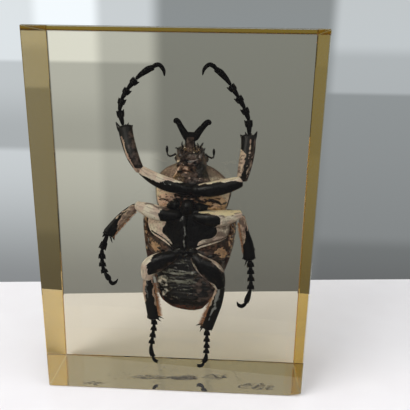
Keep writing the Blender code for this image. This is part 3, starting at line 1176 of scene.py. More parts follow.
# %% Eyes and antennae
for name, at in (("eye_left", (0.3, -0.6, 107.4)), ("eye_right", (12.4, -0.6, 107.2))):
    eye = Maker(name)
    x, y, z = at
    limb(eye, ((x, y, z - 1.7), (x, y, z), (x, y, z + 1.7)), (2.6, 2.9, 2.6), (3.0, 3.4, 3.0),
         ends=(0.5, 0.5), rings=22,
         sides=20)
    eye.finish("eye")
for name, base, elbow, bend, tip in (
    ("antenna_left", (-0.2, -3.0, 109.6), (-3.4, -3.4, 108.4), (-4.1, -3.4, 109.6), (-4.2, -3.2, 113.0)),
    ("antenna_right", (12.0, -3.0, 109.8), (15.4, -3.4, 107.9), (16.0, -3.4, 108.9), (15.9, -3.2, 112.2)),
):
    antenna = Maker(name)
    middle = tuple((a + b) / 2 + c for a, b, c in zip(base, elbow, (0, 0, -0.25)))
    limb(antenna, (base, middle, elbow), (1.1, 0.8, 1.0), (0.9, 0.8, 0.9), ends=(0.15, 0.2), rings=14,
         sides=10)
    for step in range(4):
        share = step / 4
        at = [e + (b - e) * share for e, b in zip(elbow, bend)]
        on = [e + (b - e) * (share + 0.3) for e, b in zip(elbow, bend)]
        limb(antenna, (at, [(p + q) / 2 for p, q in zip(at, on)], on), (0.6, 0.85, 0.6), (0.6, 0.8, 0.6),
             ends=(0.4, 0.4),
             rings=8, sides=8)
    for spread in (-0.22, 0.0, 0.22):
        low_end = Vector(bend)
        high_end = Vector(tip) + Vector((spread * 0.5, spread * 0.9, -0.25 * abs(spread)))
        between = low_end.lerp(high_end, 0.55) + Vector((spread * 0.4, spread * 0.6, 0))
        limb(antenna, (low_end, between, high_end), (0.6, 0.85, 0.55), (0.4, 0.55, 0.45), ends=(0.2, 0.35),
             rings=14, sides=10)
    antenna.finish("shell")
    print(antenna.name, "of", antenna.count, "points")

# %% [markdown]
# ## The horn
# The horn that makes the male grows from the front of the head: a flat stem that forks into two arms with
# rounded ends hooked outward. Booleans would join its parts with hard seams. Here a plate and two limbs
# overlap, and a voxel remesh melts them into one skin, like modelling clay. The new points know nothing of
# the old ones, so the marks are written after that.

# %% Horn
def melt(made, size, smooth_steps):
    """Fuses the overlapping closed parts of a mesh into one skin."""
    remesh = made.modifiers.new("melt", "REMESH")
    remesh.mode, remesh.voxel_size, remesh.use_smooth_shade = "VOXEL", size * MM, True
    soften = made.modifiers.new("soften", "SMOOTH")
    soften.factor, soften.iterations = 0.5, smooth_steps
    fused = bpy.data.meshes.new_from_object(made.evaluated_get(bpy.context.evaluated_depsgraph_get()))
    made.modifiers.clear()
    made.data = fused
    return fused


HORN_BODY = ((110.6, 3.5, 8.7), (113.4, 3.6, 8.2), (115.3, 3.5, 7.9), (117.0, 2.5, 9.4), (118.2, 1.9, 10.0),
             (119.0, 2.2, 9.8))


def horn_parts(maker):
    """The flat trumpet of the stem and, on it, two arms whose ends hook outward and down."""
    plate(maker, HORN_BODY, lambda x, z: -4.2 + 0.22 * (z - 113), 1.3, 1.2, side=1.3, ends=(1.0, 1.2),
          lines=30, cols=24)
    for arm in (
        ((5.2, 115.6), (4.1, 117.2), (2.8, 119.2), (1.5, 121.3), (0.5, 123.0), (-0.35, 123.6),
         (-0.95, 122.4)),
        ((6.8, 115.6), (8.1, 117.2), (9.4, 119.2), (11.0, 121.1), (12.3, 122.6), (13.4, 123.2),
         (14.2, 122.1)),
    ):
        limb(maker, [(x, -3.8 + 0.24 * (z - 115.4), z) for x, z in arm],
             (3.3, 3.3, 3.0, 2.6, 2.5, 2.3, 1.8),
             (2.4, 2.4, 2.2, 2.1, 2.0, 2.0, 1.7), ends=(0.15, 0.10), rings=44)


horn = Maker("horn")
horn_parts(horn)
horn_piece = horn.finish("foot")
melted = melt(horn_piece, size=0.2, smooth_steps=3)
count = len(melted.vertices)
where = np.empty(count * 3)
melted.vertices.foreach_get("co", where)
where = where.reshape(-1, 3) / MM
across, away, up_high = where.T
patch = ease(117.4, 116.6, up_high) * ease(1.9, 1.5, np.abs(across - 5.9)) * ease(-3.6, -4.2, away)
for key, much in {"pale": 0.0, "warm": 0.0, "dull": 0.62, "film": 0.30}.items():
    held = melted.attributes.get(key) or melted.attributes.new(key, "FLOAT", "POINT")
    held.data.foreach_set("value", much * patch)
melted.shade_smooth()
print("horn melted to", count, "points")

# %% [markdown]
# ## The legs
# Each leg is a chain: a hip with its small second joint, thigh (femur), shin (tibia) with teeth and spurs
# at its end, five foot joints of which four have pointed corners, and a pair of hooked claws. The
# legs were set by hand when the animal was mounted. A mirrored rig could pose them, but every joint would
# still have to be placed by eye, so each leg simply has its own joint positions, and one function makes
# all six.

# %% Leg parts
def spike(maker, foot, tip, width, bend=(0, 0, 0), sides=8):
    """A pointed tooth or spur."""
    foot, tip = Vector(foot), Vector(tip)
    middle = foot.lerp(tip, 0.5) + Vector(bend)
    limb(maker, (foot, middle, tip), (width, width * 0.7, width * 0.12),
         (width * 0.9, width * 0.6, width * 0.12),
         rings=9, sides=sides, ends=(0.1, 0.1))


def foot_joint(maker, start, end, width, inner=0):
    """One foot joint: slim at its base, wide at its end, where both corners run out into points. inner is 1
    or -1 for the side whose corner stands out more."""
    start, end = Vector(start), Vector(end)
    run = (end - start).normalized()
    side = Vector(TOWARD).cross(run).normalized()
    limb(maker, (start - run * 0.3, start.lerp(end, 0.5), end + run * 0.15),
         (width * 0.48, width * 0.80, width * 1.06), (width * 0.45, width * 0.66, width * 0.74),
         rings=14, sides=14, ends=(0.2, 0.10))
    for way in (-1, 1):
        out = 0.60 + 0.12 * way * inner
        foot = start.lerp(end, 0.55) + side * way * width * 0.20
        spike(maker, foot, end + run * 0.25 + side * way * width * out, width * 0.66)
        behind = end + run * 0.4 + side * way * width * 0.28 + Vector((0, 0.5, 0))
        spike(maker, foot + Vector((0, 0.3, 0)), behind, width * 0.4)


def claws(name, start, top, tip, thick=1.4, spread=1.1):
    """A pair of hooks that part in depth, so that from the front they almost cover each other."""
    pair = Maker(name)
    start, top, tip = Vector(start), Vector(top), Vector(tip)
    for way in (-1, 1):
        out = Vector((0.10, way, 0)) * spread
        early = start.lerp(top, 0.5) + (top - tip) * 0.10
        late = top.lerp(tip, 0.5) + (top - start) * 0.20
        limb(pair, (start + out * 0.15, early + out * 0.5, top + out * 0.8, late + out, tip + out * 0.9),
             (thick * 0.9, thick * 1.15, thick * 1.08, thick * 0.84, thick * 0.24),
             (thick * 0.8, thick, thick * 0.85, thick * 0.55, 0.14), ends=(0.12, 0.05), rings=28, sides=12)
    limb(pair, (start - (top - start) * 0.25, start + (top - start) * 0.1, start + (top - start) * 0.25),
         (thick * 1.2, thick * 1.3, thick), (thick * 1.2, thick * 1.3, thick), ends=(0.3, 0.3), rings=10,
         sides=12)
    pair.finish("foot")


trial = Maker("trial")
spike(trial, (0, 0, 0), (0, 0, 3), 1.0)
print("a spike has", trial.count, "points")

# %% [markdown]
# ## A whole leg
# On the animal the parts of a leg turn in joints; here they overlap, because nothing in the resin moves.
# Writing out the same calls for every leg would be long. One function takes the joints, the widths and
# the marks of a leg and makes its six pieces: hip, thigh, shin, spurs, foot and claws.

# %% A whole leg
def leg(name, hip, thigh, thigh_wide, thigh_thick, thigh_marks, shin, shin_wide, shin_marks, teeth, spurs,
        toes,
        toe_wide, claw, claw_thick=1.4, inner=0):
    hip, thigh, shin, toes = ([Vector(point) for point in line] for line in (hip, thigh, shin, toes))
    root = Maker(f"{name}_hip")
    limb(root, hip, (3.4, 5.0, 4.4, 3.0), (4.2, 4.6, 4.0, 3.0), ends=(0.3, 0.3))
    root.finish("shell")
    femur = Maker(f"{name}_thigh")
    limb(femur, thigh, thigh_wide, thigh_thick, rings=40, sides=28, ends=(0.07, 0.05), **thigh_marks)
    femur.finish("thigh")
    tibia = Maker(f"{name}_shin")
    limb(tibia, shin, shin_wide, [w * 0.52 for w in shin_wide], rings=40, sides=24, ends=(0.05, 0.05),
         **shin_marks)
    for foot, tip, width in teeth:
        spike(tibia, foot, tip, width)
    tibia.finish("shin")
    spur = Maker(f"{name}_spurs")
    for foot, tip, width in spurs:
        spike(spur, foot, tip, width, bend=(0, -0.2, 0.1))
    spur.finish("shell")
    foot = Maker(f"{name}_foot")
    for start, end in zip(toes[:4], toes[1:5]):
        foot_joint(foot, start, end, toe_wide, inner)
    a, b = toes[4:6]
    bow = Vector(TOWARD).cross((b - a).normalized()) * (claw[2] if len(claw) > 2 else 0.0)
    limb(foot, (a, a.lerp(b, 0.35) + bow, a.lerp(b, 0.75) + bow, b),
         [toe_wide * k for k in (0.44, 0.76, 1.0, 0.78)],
         [toe_wide * k for k in (0.4, 0.6, 0.78, 0.6)], ends=(0.08, 0.14), rings=24, sides=14)
    for way in (-1, 1):
        side = Vector(TOWARD).cross((b - a).normalized())
        spike(foot, a.lerp(b, 0.84) + side * way * 0.6, b + side * way * 1.2 + (b - a).normalized() * 0.2,
              0.8)
    foot.finish("foot")
    claws(f"{name}_claws", b, claw[0], claw[1], claw_thick)


print("one leg is six pieces")

# %% [markdown]
# ## Where the pale marks lie
# The legs are black with cream bands and lines, here and there a dull mauve-brown, and some carry grey
# stripes that are painted highlights. A painted texture would need every limb unwrapped. A mark is a small
# function of the place on the limb instead, and marks are put together like building blocks: `both` adds
# rules and `fewer` keeps what all of them allow.

# %% Where the pale marks lie
def edge_band(side, *begins):
    """Pale along one edge. side is 1 or -1. begins says, at even steps along the limb, how near the edge
    the band begins: 1.4 is no band, 0 reaches the middle and -1.4 covers the limb."""
    def rule(t, edge, *_):
        begin = np.interp(t, np.linspace(0, 1, len(begins)), begins)
        return ease(begin - 0.25, begin + 0.25, edge * side)
    return rule


def line_at(edge_at, width, first=0.0, last=1.0):
    """A thin pale line that runs along the front of the limb at the given edge coordinate."""
    def rule(t, edge, facing, *_):
        on = np.exp(-(((edge - edge_at) / width) ** 2)) * (facing > 0)
        return on * ease(first - 0.04, first + 0.04, t) * ease(last + 0.04, last - 0.04, t)
    return rule


def outside(outline):
    """Pale wherever the limb isn't covered by a dark patch of the given outline."""
    def rule(t, edge, facing, x, z):
        return 1 - inside(outline, x, z, 0.5)
    return rule


def shaded(much):
    return lambda t, *_: much + t * 0


def blotched(size):
    """Patches of the given size in millimetres."""
    def rule(t, edge, facing, x, z):
        return ease(-0.15, 0.25, speckle(x, z, size, 4.4))
    return rule


def both(*rules):
    return lambda *spot: np.clip(sum(rule(*spot) for rule in rules), 0, 1)


def fewer(rule, *others):
    """The first rule, but only where all the others hold too."""
    def held(*spot):
        value = rule(*spot)
        for other in others:
            value = value * other(*spot)
        return value
    return held


print("a band from the middle to one edge:", edge_band(1, 0.0)(0.5, np.array([-1.0, 0.0, 1.0])))

# %% [markdown]
# ## The fore legs
# They reach up past the head, and their long feet bow inward over the horn. The thighs are cream above
# and black below, the shins are dark with cream lines and carry three teeth. What is black on a thigh is
# given as an outline over the whole region, because its border doesn't follow the limb; what is pale on a
# shin does, so edge bands and lines are used there.

# %% Fore legs
FORE_LEFT_BLACK = ((6.0, 98.6), (-0.6, 97.4), (-3.5, 98.8), (-6.6, 97.8), (-10.0, 98.8), (-13.0, 100.2),
                   (-16.5, 101.2), (-16.5, 98.0), (-8.0, 93.0), (0.0, 90.0), (7.0, 90.0))
FORE_RIGHT_BLACK = ((3.0, 98.8), (7.0, 96.9), (11.9, 97.7), (17.0, 98.0), (21.5, 98.3), (27.2, 99.0),
                    (31.0, 99.0), (30.0, 93.0), (20.0, 90.0), (4.0, 88.0))
leg("fore_left",
    hip=((8.0, -5.6, 94.6), (5.2, -7.2, 94.8), (2.0, -7.6, 95.6), (-0.6, -7.4, 96.6)),
    thigh=((4.4, -7.6, 95.2), (-2.4, -8.0, 96.3), (-9.4, -7.6, 99.1), (-15.6, -6.6, 102.8)),
    thigh_wide=(4.2, 6.3, 5.8, 3.8), thigh_thick=(3.4, 4.2, 3.8, 2.6),
    # The grey line on the thigh is a painted highlight.
    thigh_marks=dict(pale=outside(FORE_LEFT_BLACK), film=line_at(-0.15, 0.10, 0.25, 0.5)),
    shin=((-15.2, -6.8, 101.6), (-18.6, -5.8, 108.0), (-21.0, -4.2, 115.2), (-22.2, -3.0, 121.4)),
    shin_wide=(3.6, 5.4, 6.0, 6.2),
    shin_marks=dict(pale=both(line_at(0.66, 0.16, 0.10, 0.74),
                              edge_band(1, -1.4, 1.2, 1.4, 1.4, 1.4, 1.4, 1.4, 1.4, 1.4)),
                    dull=fewer(edge_band(-1, -0.35, -0.35, -0.3, -0.2, 0.3, 1.4),
                               both(shaded(0.26), fewer(blotched(1.4), shaded(0.38))))),
    teeth=(((-24.0, -3.0, 118.6), (-26.0, -2.8, 122.6), 2.3),
           ((-20.2, -3.0, 119.2), (-18.8, -2.8, 121.4), 2.0),
           ((-22.2, -3.6, 119.6), (-21.6, -3.8, 121.8), 1.8)),
    spurs=(((-21.2, -4.0, 120.2), (-20.2, -4.8, 122.6), 1.0),),
    toes=((-22.9, -3.0, 121.2), (-24.5, -1.6, 127.2), (-23.4, -0.8, 132.1), (-20.9, -0.6, 136.2),
          (-17.4, -0.6, 140.2), (-10.3, -0.8, 145.0)),
    toe_wide=2.75, claw=((-7.3, -0.8, 146.0), (-5.4, -0.8, 141.6), 0.35), claw_thick=1.6, inner=-1)
leg("fore_right",
    hip=((5.0, -5.6, 94.6), (8.4, -7.2, 94.6), (11.6, -7.6, 95.2), (13.6, -7.4, 95.6)),
    thigh=((7.6, -7.6, 94.6), (14.6, -8.2, 95.0), (22.0, -7.8, 96.7), (28.6, -6.8, 98.8)),
    thigh_wide=(4.0, 6.7, 6.5, 4.6), thigh_thick=(3.4, 4.4, 4.0, 2.8),
    thigh_marks=dict(pale=outside(FORE_RIGHT_BLACK), warm=fewer(line_at(0.9, 0.3, 0.1, 0.95), shaded(0.5))),
    shin=((28.2, -6.8, 98.6), (29.4, -6.0, 105.4), (30.4, -4.4, 112.2), (30.4, -3.0, 118.6)),
    shin_wide=(4.4, 5.8, 6.2, 6.2),
    shin_marks=dict(pale=both(edge_band(1, 1.4, 0.35, 0.1, 0.05, 0.35, 1.4, 1.4, 1.4),
                              line_at(-0.30, 0.10, 0.08, 0.92),
                              line_at(-0.72, 0.09, 0.10, 0.80)),
                    dull=both(fewer(edge_band(-1, 0.35, 0.35, 0.4, 0.5, 0.6, 1.4),
                                    both(shaded(0.45), fewer(blotched(1.0), shaded(0.35)))),
                              fewer(edge_band(1, -0.4, 0.2, 0.2, 0.2, 0.4, 1.4, 1.4, 1.4), blotched(1.1)))),
    teeth=(((32.4, -3.0, 115.8), (34.0, -2.8, 120.0), 2.3), ((28.6, -3.0, 116.4), (26.9, -2.8, 118.4), 2.0),
           ((30.6, -3.6, 117.2), (31.6, -3.8, 119.2), 1.8)),
    spurs=(((29.8, -4.0, 117.6), (28.8, -4.8, 119.8), 1.0),),
    toes=((30.7, -3.0, 118.2), (30.4, -1.6, 124.3), (28.4, -0.8, 129.2), (25.5, -0.6, 133.9),
          (22.3, -0.6, 138.5), (16.3, -0.8, 144.6)),
    toe_wide=2.75, claw=((13.0, -0.8, 146.5), (10.4, -0.8, 142.2), -0.35), claw_thick=1.6, inner=1)

# %% [markdown]
# ## The middle legs
# They spread to both sides and their feet hang down. Their shins have teeth at the end and along the
# outer edge, and a fringe of hair at the inner edge that is grown later. They are made like the fore
# legs, with other joints and marks: their thighs are black only near the body.

# %% Middle legs
MIDDLE_LEFT_BLACK = ((4.0, 88.0), (-1.0, 87.4), (-5.4, 86.2), (-7.3, 84.0), (-6.8, 81.6), (-5.4, 79.4),
                     (0.0, 77.0),
                     (6.0, 77.0))
MIDDLE_RIGHT_BLACK = ((4.0, 86.6), (8.2, 85.2), (12.8, 84.8), (17.0, 84.1), (19.6, 81.9), (19.2, 79.4),
                      (16.5, 77.6),
                      (12.0, 77.0), (4.0, 77.4))
leg("middle_left",
    hip=((3.0, -6.0, 83.0), (0.0, -7.8, 83.2), (-3.6, -8.0, 83.4), (-6.4, -7.8, 83.8)),
    thigh=((0.6, -8.2, 82.8), (-6.0, -8.6, 83.4), (-11.8, -8.2, 84.9), (-18.2, -6.8, 87.0)),
    thigh_wide=(4.4, 6.6, 6.6, 3.4), thigh_thick=(3.6, 4.4, 4.0, 2.2),
    thigh_marks=dict(pale=outside(MIDDLE_LEFT_BLACK), dull=both(
        fewer(edge_band(1, -1.4, -0.2, 0.5, 1.2, 1.2, 1.2), blotched(1.6), outside(MIDDLE_LEFT_BLACK)),
        line_at(-0.86, 0.16, 0.2, 0.8))),
    shin=((-17.2, -7.0, 86.6), (-22.4, -6.0, 82.2), (-27.2, -4.4, 77.0), (-31.2, -3.0, 71.8)),
    shin_wide=(3.2, 4.4, 5.0, 5.6),
    shin_marks=dict(pale=both(edge_band(1, -0.55, -0.5, -0.45, -0.3, 0.1, 0.6, 1.4, 1.4),
                              line_at(-0.72, 0.10, 0.05, 0.55)),
                    dull=fewer(edge_band(1, -0.6, -0.6, -0.5, -0.3, 0.1, 0.6, 1.4, 1.4),
                               both(shaded(0.42), fewer(blotched(1.3), shaded(0.4))))),
    teeth=(((-31.2, -3.0, 74.0), (-33.6, -2.8, 72.4), 2.0), ((-32.2, -3.0, 72.4), (-33.8, -2.9, 70.6), 1.6),
           ((-29.0, -3.0, 72.4), (-28.4, -2.8, 69.2), 1.8)),
    spurs=(((-30.0, -4.0, 71.6), (-29.0, -4.8, 68.2), 1.0),),
    toes=((-31.2, -2.6, 72.4), (-34.4, -1.4, 64.4), (-34.7, -0.6, 59.6), (-34.6, -0.4, 55.7),
          (-33.7, -0.4, 52.6), (-31.6, -0.8, 49.4)),
    toe_wide=2.75, claw=((-30.2, -0.8, 47.3), (-27.8, -0.8, 49.6)), claw_thick=1.3)
leg("middle_right",
    hip=((6.6, -6.0, 82.6), (9.6, -7.8, 82.6), (13.4, -8.0, 82.2), (16.2, -7.8, 82.2)),
    thigh=((8.4, -8.2, 82.6), (15.6, -8.8, 81.9), (22.6, -8.4, 82.7), (29.0, -6.8, 84.4)),
    thigh_wide=(4.6, 7.6, 6.6, 3.2), thigh_thick=(3.6, 4.6, 4.2, 2.4),
    thigh_marks=dict(pale=outside(MIDDLE_RIGHT_BLACK),
                     warm=fewer(edge_band(1, 1.0, 0.55, 0.45, 0.3, 0.2, 0.1), shaded(0.75)),
                     dull=both(fewer(edge_band(-1, -0.2, -0.2, -0.1, 0, 0, 0), shaded(0.42),
                                     outside(MIDDLE_RIGHT_BLACK)), line_at(0.35, 0.10, 0.45, 0.95))),
    shin=((28.6, -7.0, 83.6), (30.2, -6.0, 76.6), (32.2, -4.4, 69.4), (33.2, -3.0, 61.6)),
    shin_wide=(2.8, 3.6, 4.8, 5.8),
    shin_marks=dict(pale=both(edge_band(-1, -0.65, -0.55, -0.35, -0.15, 0.3, 0.9, 1.4, 1.4, 1.4),
                              line_at(0.80, 0.12, 0.02, 0.34)),
                    dull=fewer(edge_band(-1, -0.65, -0.55, -0.35, -0.15, 0.3, 0.9, 1.4, 1.4, 1.4),
                               both(shaded(0.36), fewer(blotched(1.5), shaded(0.5))))),
    teeth=(((33.8, -3.0, 65.0), (36.0, -2.8, 62.6), 2.0), ((33.8, -3.0, 68.6), (35.6, -2.9, 66.4), 1.5),
           ((31.8, -3.0, 64.4), (29.9, -2.8, 62.0), 1.9)),
    spurs=(((32.2, -4.0, 62.4), (31.0, -4.8, 59.2), 1.0),),
    toes=((33.2, -2.6, 62.6), (33.9, -1.4, 58.0), (34.1, -0.6, 54.4), (34.4, -0.4, 50.8),
          (34.4, -0.4, 46.7), (32.6, -0.8, 40.0)),
    toe_wide=2.7, claw=((30.4, -0.8, 38.0), (28.2, -0.8, 40.0)), claw_thick=1.35)

# %% [markdown]
# ## The hind legs
# They have the thickest thighs, pressed against the belly, and shins that run straight down to the feet
# near the bottom of the block. A painted grey highlight along the shins keeps them from looking like black
# tubes. Their claws point at the bottom face, which mirrors them.

# %% Hind legs
HIND_LEFT_BLACK = ((4.0, 69.0), (-3.0, 68.4), (-8.9, 65.2), (-11.8, 62.0), (-12.7, 58.4), (-12.2, 54.9),
                   (-9.6, 55.3),
                   (-7.2, 56.4), (-2.4, 60.2), (4.0, 63.4))
HIND_RIGHT_BLACK = ((4.0, 69.0), (9.5, 66.2), (13.4, 64.0), (17.0, 61.8), (20.2, 58.9), (22.6, 56.0),
                    (24.4, 51.0),
                    (20.6, 46.0), (19.3, 49.2), (15.2, 52.2), (11.8, 55.6), (8.5, 60.6), (5.0, 64.4))
leg("hind_left",
    hip=((4.2, -6.6, 66.6), (2.2, -8.0, 66.4), (0.0, -8.6, 65.8), (-2.4, -8.8, 64.8)),
    thigh=((1.0, -9.2, 65.0), (-5.6, -10.0, 62.4), (-11.4, -9.4, 58.4), (-13.8, -7.6, 51.6)),
    thigh_wide=(3.0, 7.6, 8.4, 3.8), thigh_thick=(2.6, 4.4, 4.6, 2.6),
    thigh_marks=dict(pale=outside(HIND_LEFT_BLACK), dull=line_at(0.92, 0.16, 0.05, 0.8)),
    shin=((-12.6, -7.6, 54.0), (-12.5, -6.8, 46.2), (-11.6, -5.4, 38.4), (-10.8, -4.0, 30.4)),
    shin_wide=(4.2, 5.6, 5.4, 5.0),
    shin_marks=dict(pale=both(edge_band(-1, 0.35, 0.45, 0.55, 0.75, 1.4, 1.4, 1.4),
                              line_at(0.80, 0.14, 0.03, 0.7)),
                    # The grey line along the shin is a painted highlight.
                    film=fewer(line_at(-0.30, 0.22, 0.0, 0.5), shaded(0.55))),
    teeth=(((-12.6, -4.0, 33.8), (-13.8, -3.8, 30.8), 1.8), ((-9.4, -4.0, 32.6), (-8.2, -3.8, 30.2), 1.7),
           ((-11.2, -4.4, 31.6), (-11.6, -4.4, 28.8), 1.6)),
    spurs=(((-9.6, -4.6, 33.0), (-5.8, -5.0, 31.4), 1.1), ((-9.8, -4.6, 31.8), (-7.0, -5.0, 29.9), 1.0)),
    toes=((-10.5, -3.6, 31.6), (-10.6, -2.4, 27.4), (-11.0, -1.8, 24.0), (-11.6, -1.4, 20.2),
          (-12.1, -1.0, 16.6), (-11.5, -0.8, 9.6)),
    toe_wide=2.45, claw=((-10.9, -0.8, 7.6), (-9.0, -0.8, 7.0), -0.5), claw_thick=1.15)
leg("hind_right",
    hip=((5.2, -6.6, 66.6), (6.6, -8.0, 66.4), (8.2, -8.6, 65.8), (10.0, -8.8, 64.6)),
    thigh=((7.4, -9.2, 65.4), (12.0, -10.0, 60.8), (17.2, -9.6, 56.4), (20.8, -7.6, 48.4)),
    thigh_wide=(3.2, 8.2, 9.4, 4.2), thigh_thick=(2.6, 4.6, 4.8, 2.6),
    thigh_marks=dict(pale=outside(HIND_RIGHT_BLACK), dull=both(line_at(-0.92, 0.14, 0.05, 0.9),
                                                                fewer(edge_band(1, 0.3, 0.5, 0.6, 0.9, 1.4),
                                                                      shaded(0.5)))),
    shin=((20.6, -7.6, 50.0), (18.8, -6.8, 41.4), (16.6, -5.4, 33.6), (14.4, -4.0, 26.2)),
    shin_wide=(4.2, 5.4, 5.4, 5.2),
    shin_marks=dict(pale=fewer(edge_band(-1, 0.3, 0.45, 0.7, 1.4, 1.4, 1.4), shaded(0.9)),
                    # The grey lines along the shin are painted highlights.
                    film=both(line_at(-0.22, 0.16, 0.02, 0.72),
                              fewer(line_at(0.1, 0.14, 0.05, 0.5), shaded(0.5)))),
    teeth=(((15.8, -4.0, 28.8), (16.9, -3.8, 25.6), 1.8), ((12.8, -4.0, 29.0), (11.2, -3.8, 26.6), 1.7),
           ((14.6, -4.4, 27.2), (14.8, -4.4, 24.2), 1.6)),
    spurs=(((12.6, -4.6, 29.4), (9.2, -5.0, 28.6), 1.1), ((12.6, -4.6, 28.0), (11.2, -5.0, 25.2), 1.0)),
    toes=((14.4, -3.6, 27.2), (14.6, -2.4, 22.6), (14.5, -1.8, 19.0), (14.6, -1.4, 15.6),
          (14.4, -1.0, 12.6), (13.3, -0.8, 7.4)),
    toe_wide=2.45, claw=((12.2, -0.8, 5.5), (9.8, -0.8, 6.0), 0.4), claw_thick=1.15)

# %% [markdown]
# ## Hair
# Golden fringes line the inner edges of the middle and hind shins, and tufts stand at the neck, the waist,
# the hind hips and the mouth. Particle hair would do, but it can't be handed over as a mesh as it is. One
# Geometry Nodes tree makes them all. First comes a class that adds nodes to such a tree, and a function
# that runs a tree on an object and keeps the mesh it makes.

# %% A tree that grows hair on any bed
class Growth:
    """A Geometry Nodes tree under construction, with one method that adds a node."""

    def __init__(self, name, **values):
        self.tree = bpy.data.node_groups.new(name, "GeometryNodeTree")
        self.tree.interface.new_socket("Geometry", in_out="INPUT", socket_type="NodeSocketGeometry")
        self.tree.interface.new_socket("Geometry", in_out="OUTPUT", socket_type="NodeSocketGeometry")
        for key, kind in values.items():
            self.tree.interface.new_socket(key, in_out="INPUT", socket_type=kind)
        self.input = self.tree.nodes.new("NodeGroupInput")
        self.result = self.tree.nodes.new("NodeGroupOutput")

    def given(self, name):
        return self.input.outputs[name]

    def node(self, kind, settings=None, out=0, **values):
        made = self.tree.nodes.new(kind)
        for key, value in (settings or {}).items():
            setattr(made, key, value)
        for key, value in values.items():
            slot = made.inputs[int(key[1:]) if key[0] == "_" else key.replace("_", " ")]
            if isinstance(value, bpy.types.NodeSocket):
                self.tree.links.new(value, slot)
            else:
                slot.default_value = value
        return made.outputs[out]

    def ends_in(self, geometry):
        self.tree.links.new(geometry, self.result.inputs[0])


def grow(made, growth, finish, **values):
    """Runs the tree on an object once and keeps the mesh it makes."""
    modifier = made.modifiers.new("grow", "NODES")
    modifier.node_group = growth.tree
    names = {item.name: item.identifier for item in growth.tree.interface.items_tree
             if item.in_out == "INPUT"}
    for key, value in {"Material": finishes[finish], **values}.items():
        modifier[names[key]] = value
    grown = bpy.data.meshes.new_from_object(made.evaluated_get(bpy.context.evaluated_depsgraph_get()))
    made.modifiers.clear()
    made.data = grown
    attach(made, BODY)
    print(made.name, len(grown.polygons), "faces")
    return made


print("Growth builds a tree, grow runs it once")

# %% [markdown]
# ## The hair tree
# Real hairs stand close, each with its own length and lean. A single hair could be copied by hand. The
# tree scatters points, stands a five-sided cone on each, turns it by a random amount and keeps the result
# as one mesh, so that thousands of hairs are one piece.

# %% The hair tree
pelt = Growth("hair", Length="NodeSocketFloat", Thickness="NodeSocketFloat", Density="NodeSocketFloat",
              Lean="NodeSocketFloat", Seed="NodeSocketInt", Material="NodeSocketMaterial")
places = pelt.node("GeometryNodeDistributePointsOnFaces", Mesh=pelt.given("Geometry"),
                   Density=pelt.given("Density"),
                   Seed=pelt.given("Seed"))
scatter = places.node
lean_low = pelt.node("ShaderNodeMath", {"operation": "MULTIPLY"}, _0=pelt.given("Lean"), _1=-1.0)
joined_low = pelt.node("ShaderNodeCombineXYZ", X=lean_low, Y=lean_low, Z=0.0)
joined_high = pelt.node("ShaderNodeCombineXYZ", X=pelt.given("Lean"), Y=pelt.given("Lean"), Z=6.28)
tilt = pelt.node("FunctionNodeRandomValue", {"data_type": "FLOAT_VECTOR"}, out=0, _0=joined_low,
                 _1=joined_high,
                 Seed=pelt.given("Seed"))
turned = pelt.node("FunctionNodeRotateRotation", {"rotation_space": "LOCAL"},
                   Rotation=scatter.outputs["Rotation"],
                   Rotate_By=tilt)
cone = pelt.node("GeometryNodeMeshCone", Vertices=5, Radius_Top=0.0, Radius_Bottom=pelt.given("Thickness"),
                 Depth=pelt.given("Length"))
measure = pelt.node("FunctionNodeRandomValue", {"data_type": "FLOAT"}, out=1, _2=0.45, _3=1.0,
                    Seed=pelt.given("Seed"))
hairs = pelt.node("GeometryNodeInstanceOnPoints", Points=places, Instance=cone, Rotation=turned,
                  Scale=measure)
solid = pelt.node("GeometryNodeRealizeInstances", Geometry=hairs)
pelt.ends_in(pelt.node("GeometryNodeSetMaterial", Geometry=solid, Material=pelt.given("Material")))

print("hair tree of", len(pelt.tree.nodes), "nodes")

# %% [markdown]
# ## Fringes and tufts
# A fringe stands along one edge of a shin and a tuft all round a small mound. The hair could grow on the
# shin itself, but then it would have to be masked. A narrow ribbon or a small mound serves as a bed
# instead; the bed is gone once the hair has grown on it.

# %% Fringes and tufts
def ribbon_bed(name, line, way, deep=1.4):
    """A narrow strip along a line whose faces look along way, from which hair grows sideways."""
    shape = bmesh.new()
    way = Vector(way).normalized()
    path = smooth(line, np.linspace(0, 1, 14))
    pairs = [[shape.verts.new((Vector(p) + Vector((0, side * deep / 2, 0))) * MM) for side in (-1, 1)]
             for p in path]
    for (a, b), (c, d) in zip(pairs, pairs[1:]):
        face = shape.faces.new((a, b, d, c))
        face.normal_update()
        if face.normal.dot(way) < 0:
            face.normal_flip()
    return object_from(shape, name)


def mound_bed(name, at, size):
    """A small ellipsoid from which a tuft stands out all round."""
    shape = bmesh.new()
    bmesh.ops.create_icosphere(shape, subdivisions=2, radius=1.0)
    bmesh.ops.scale(shape, vec=Vector(size) * MM, verts=shape.verts)
    bmesh.ops.translate(shape, vec=Vector(at) * MM, verts=shape.verts)
    return object_from(shape, name)


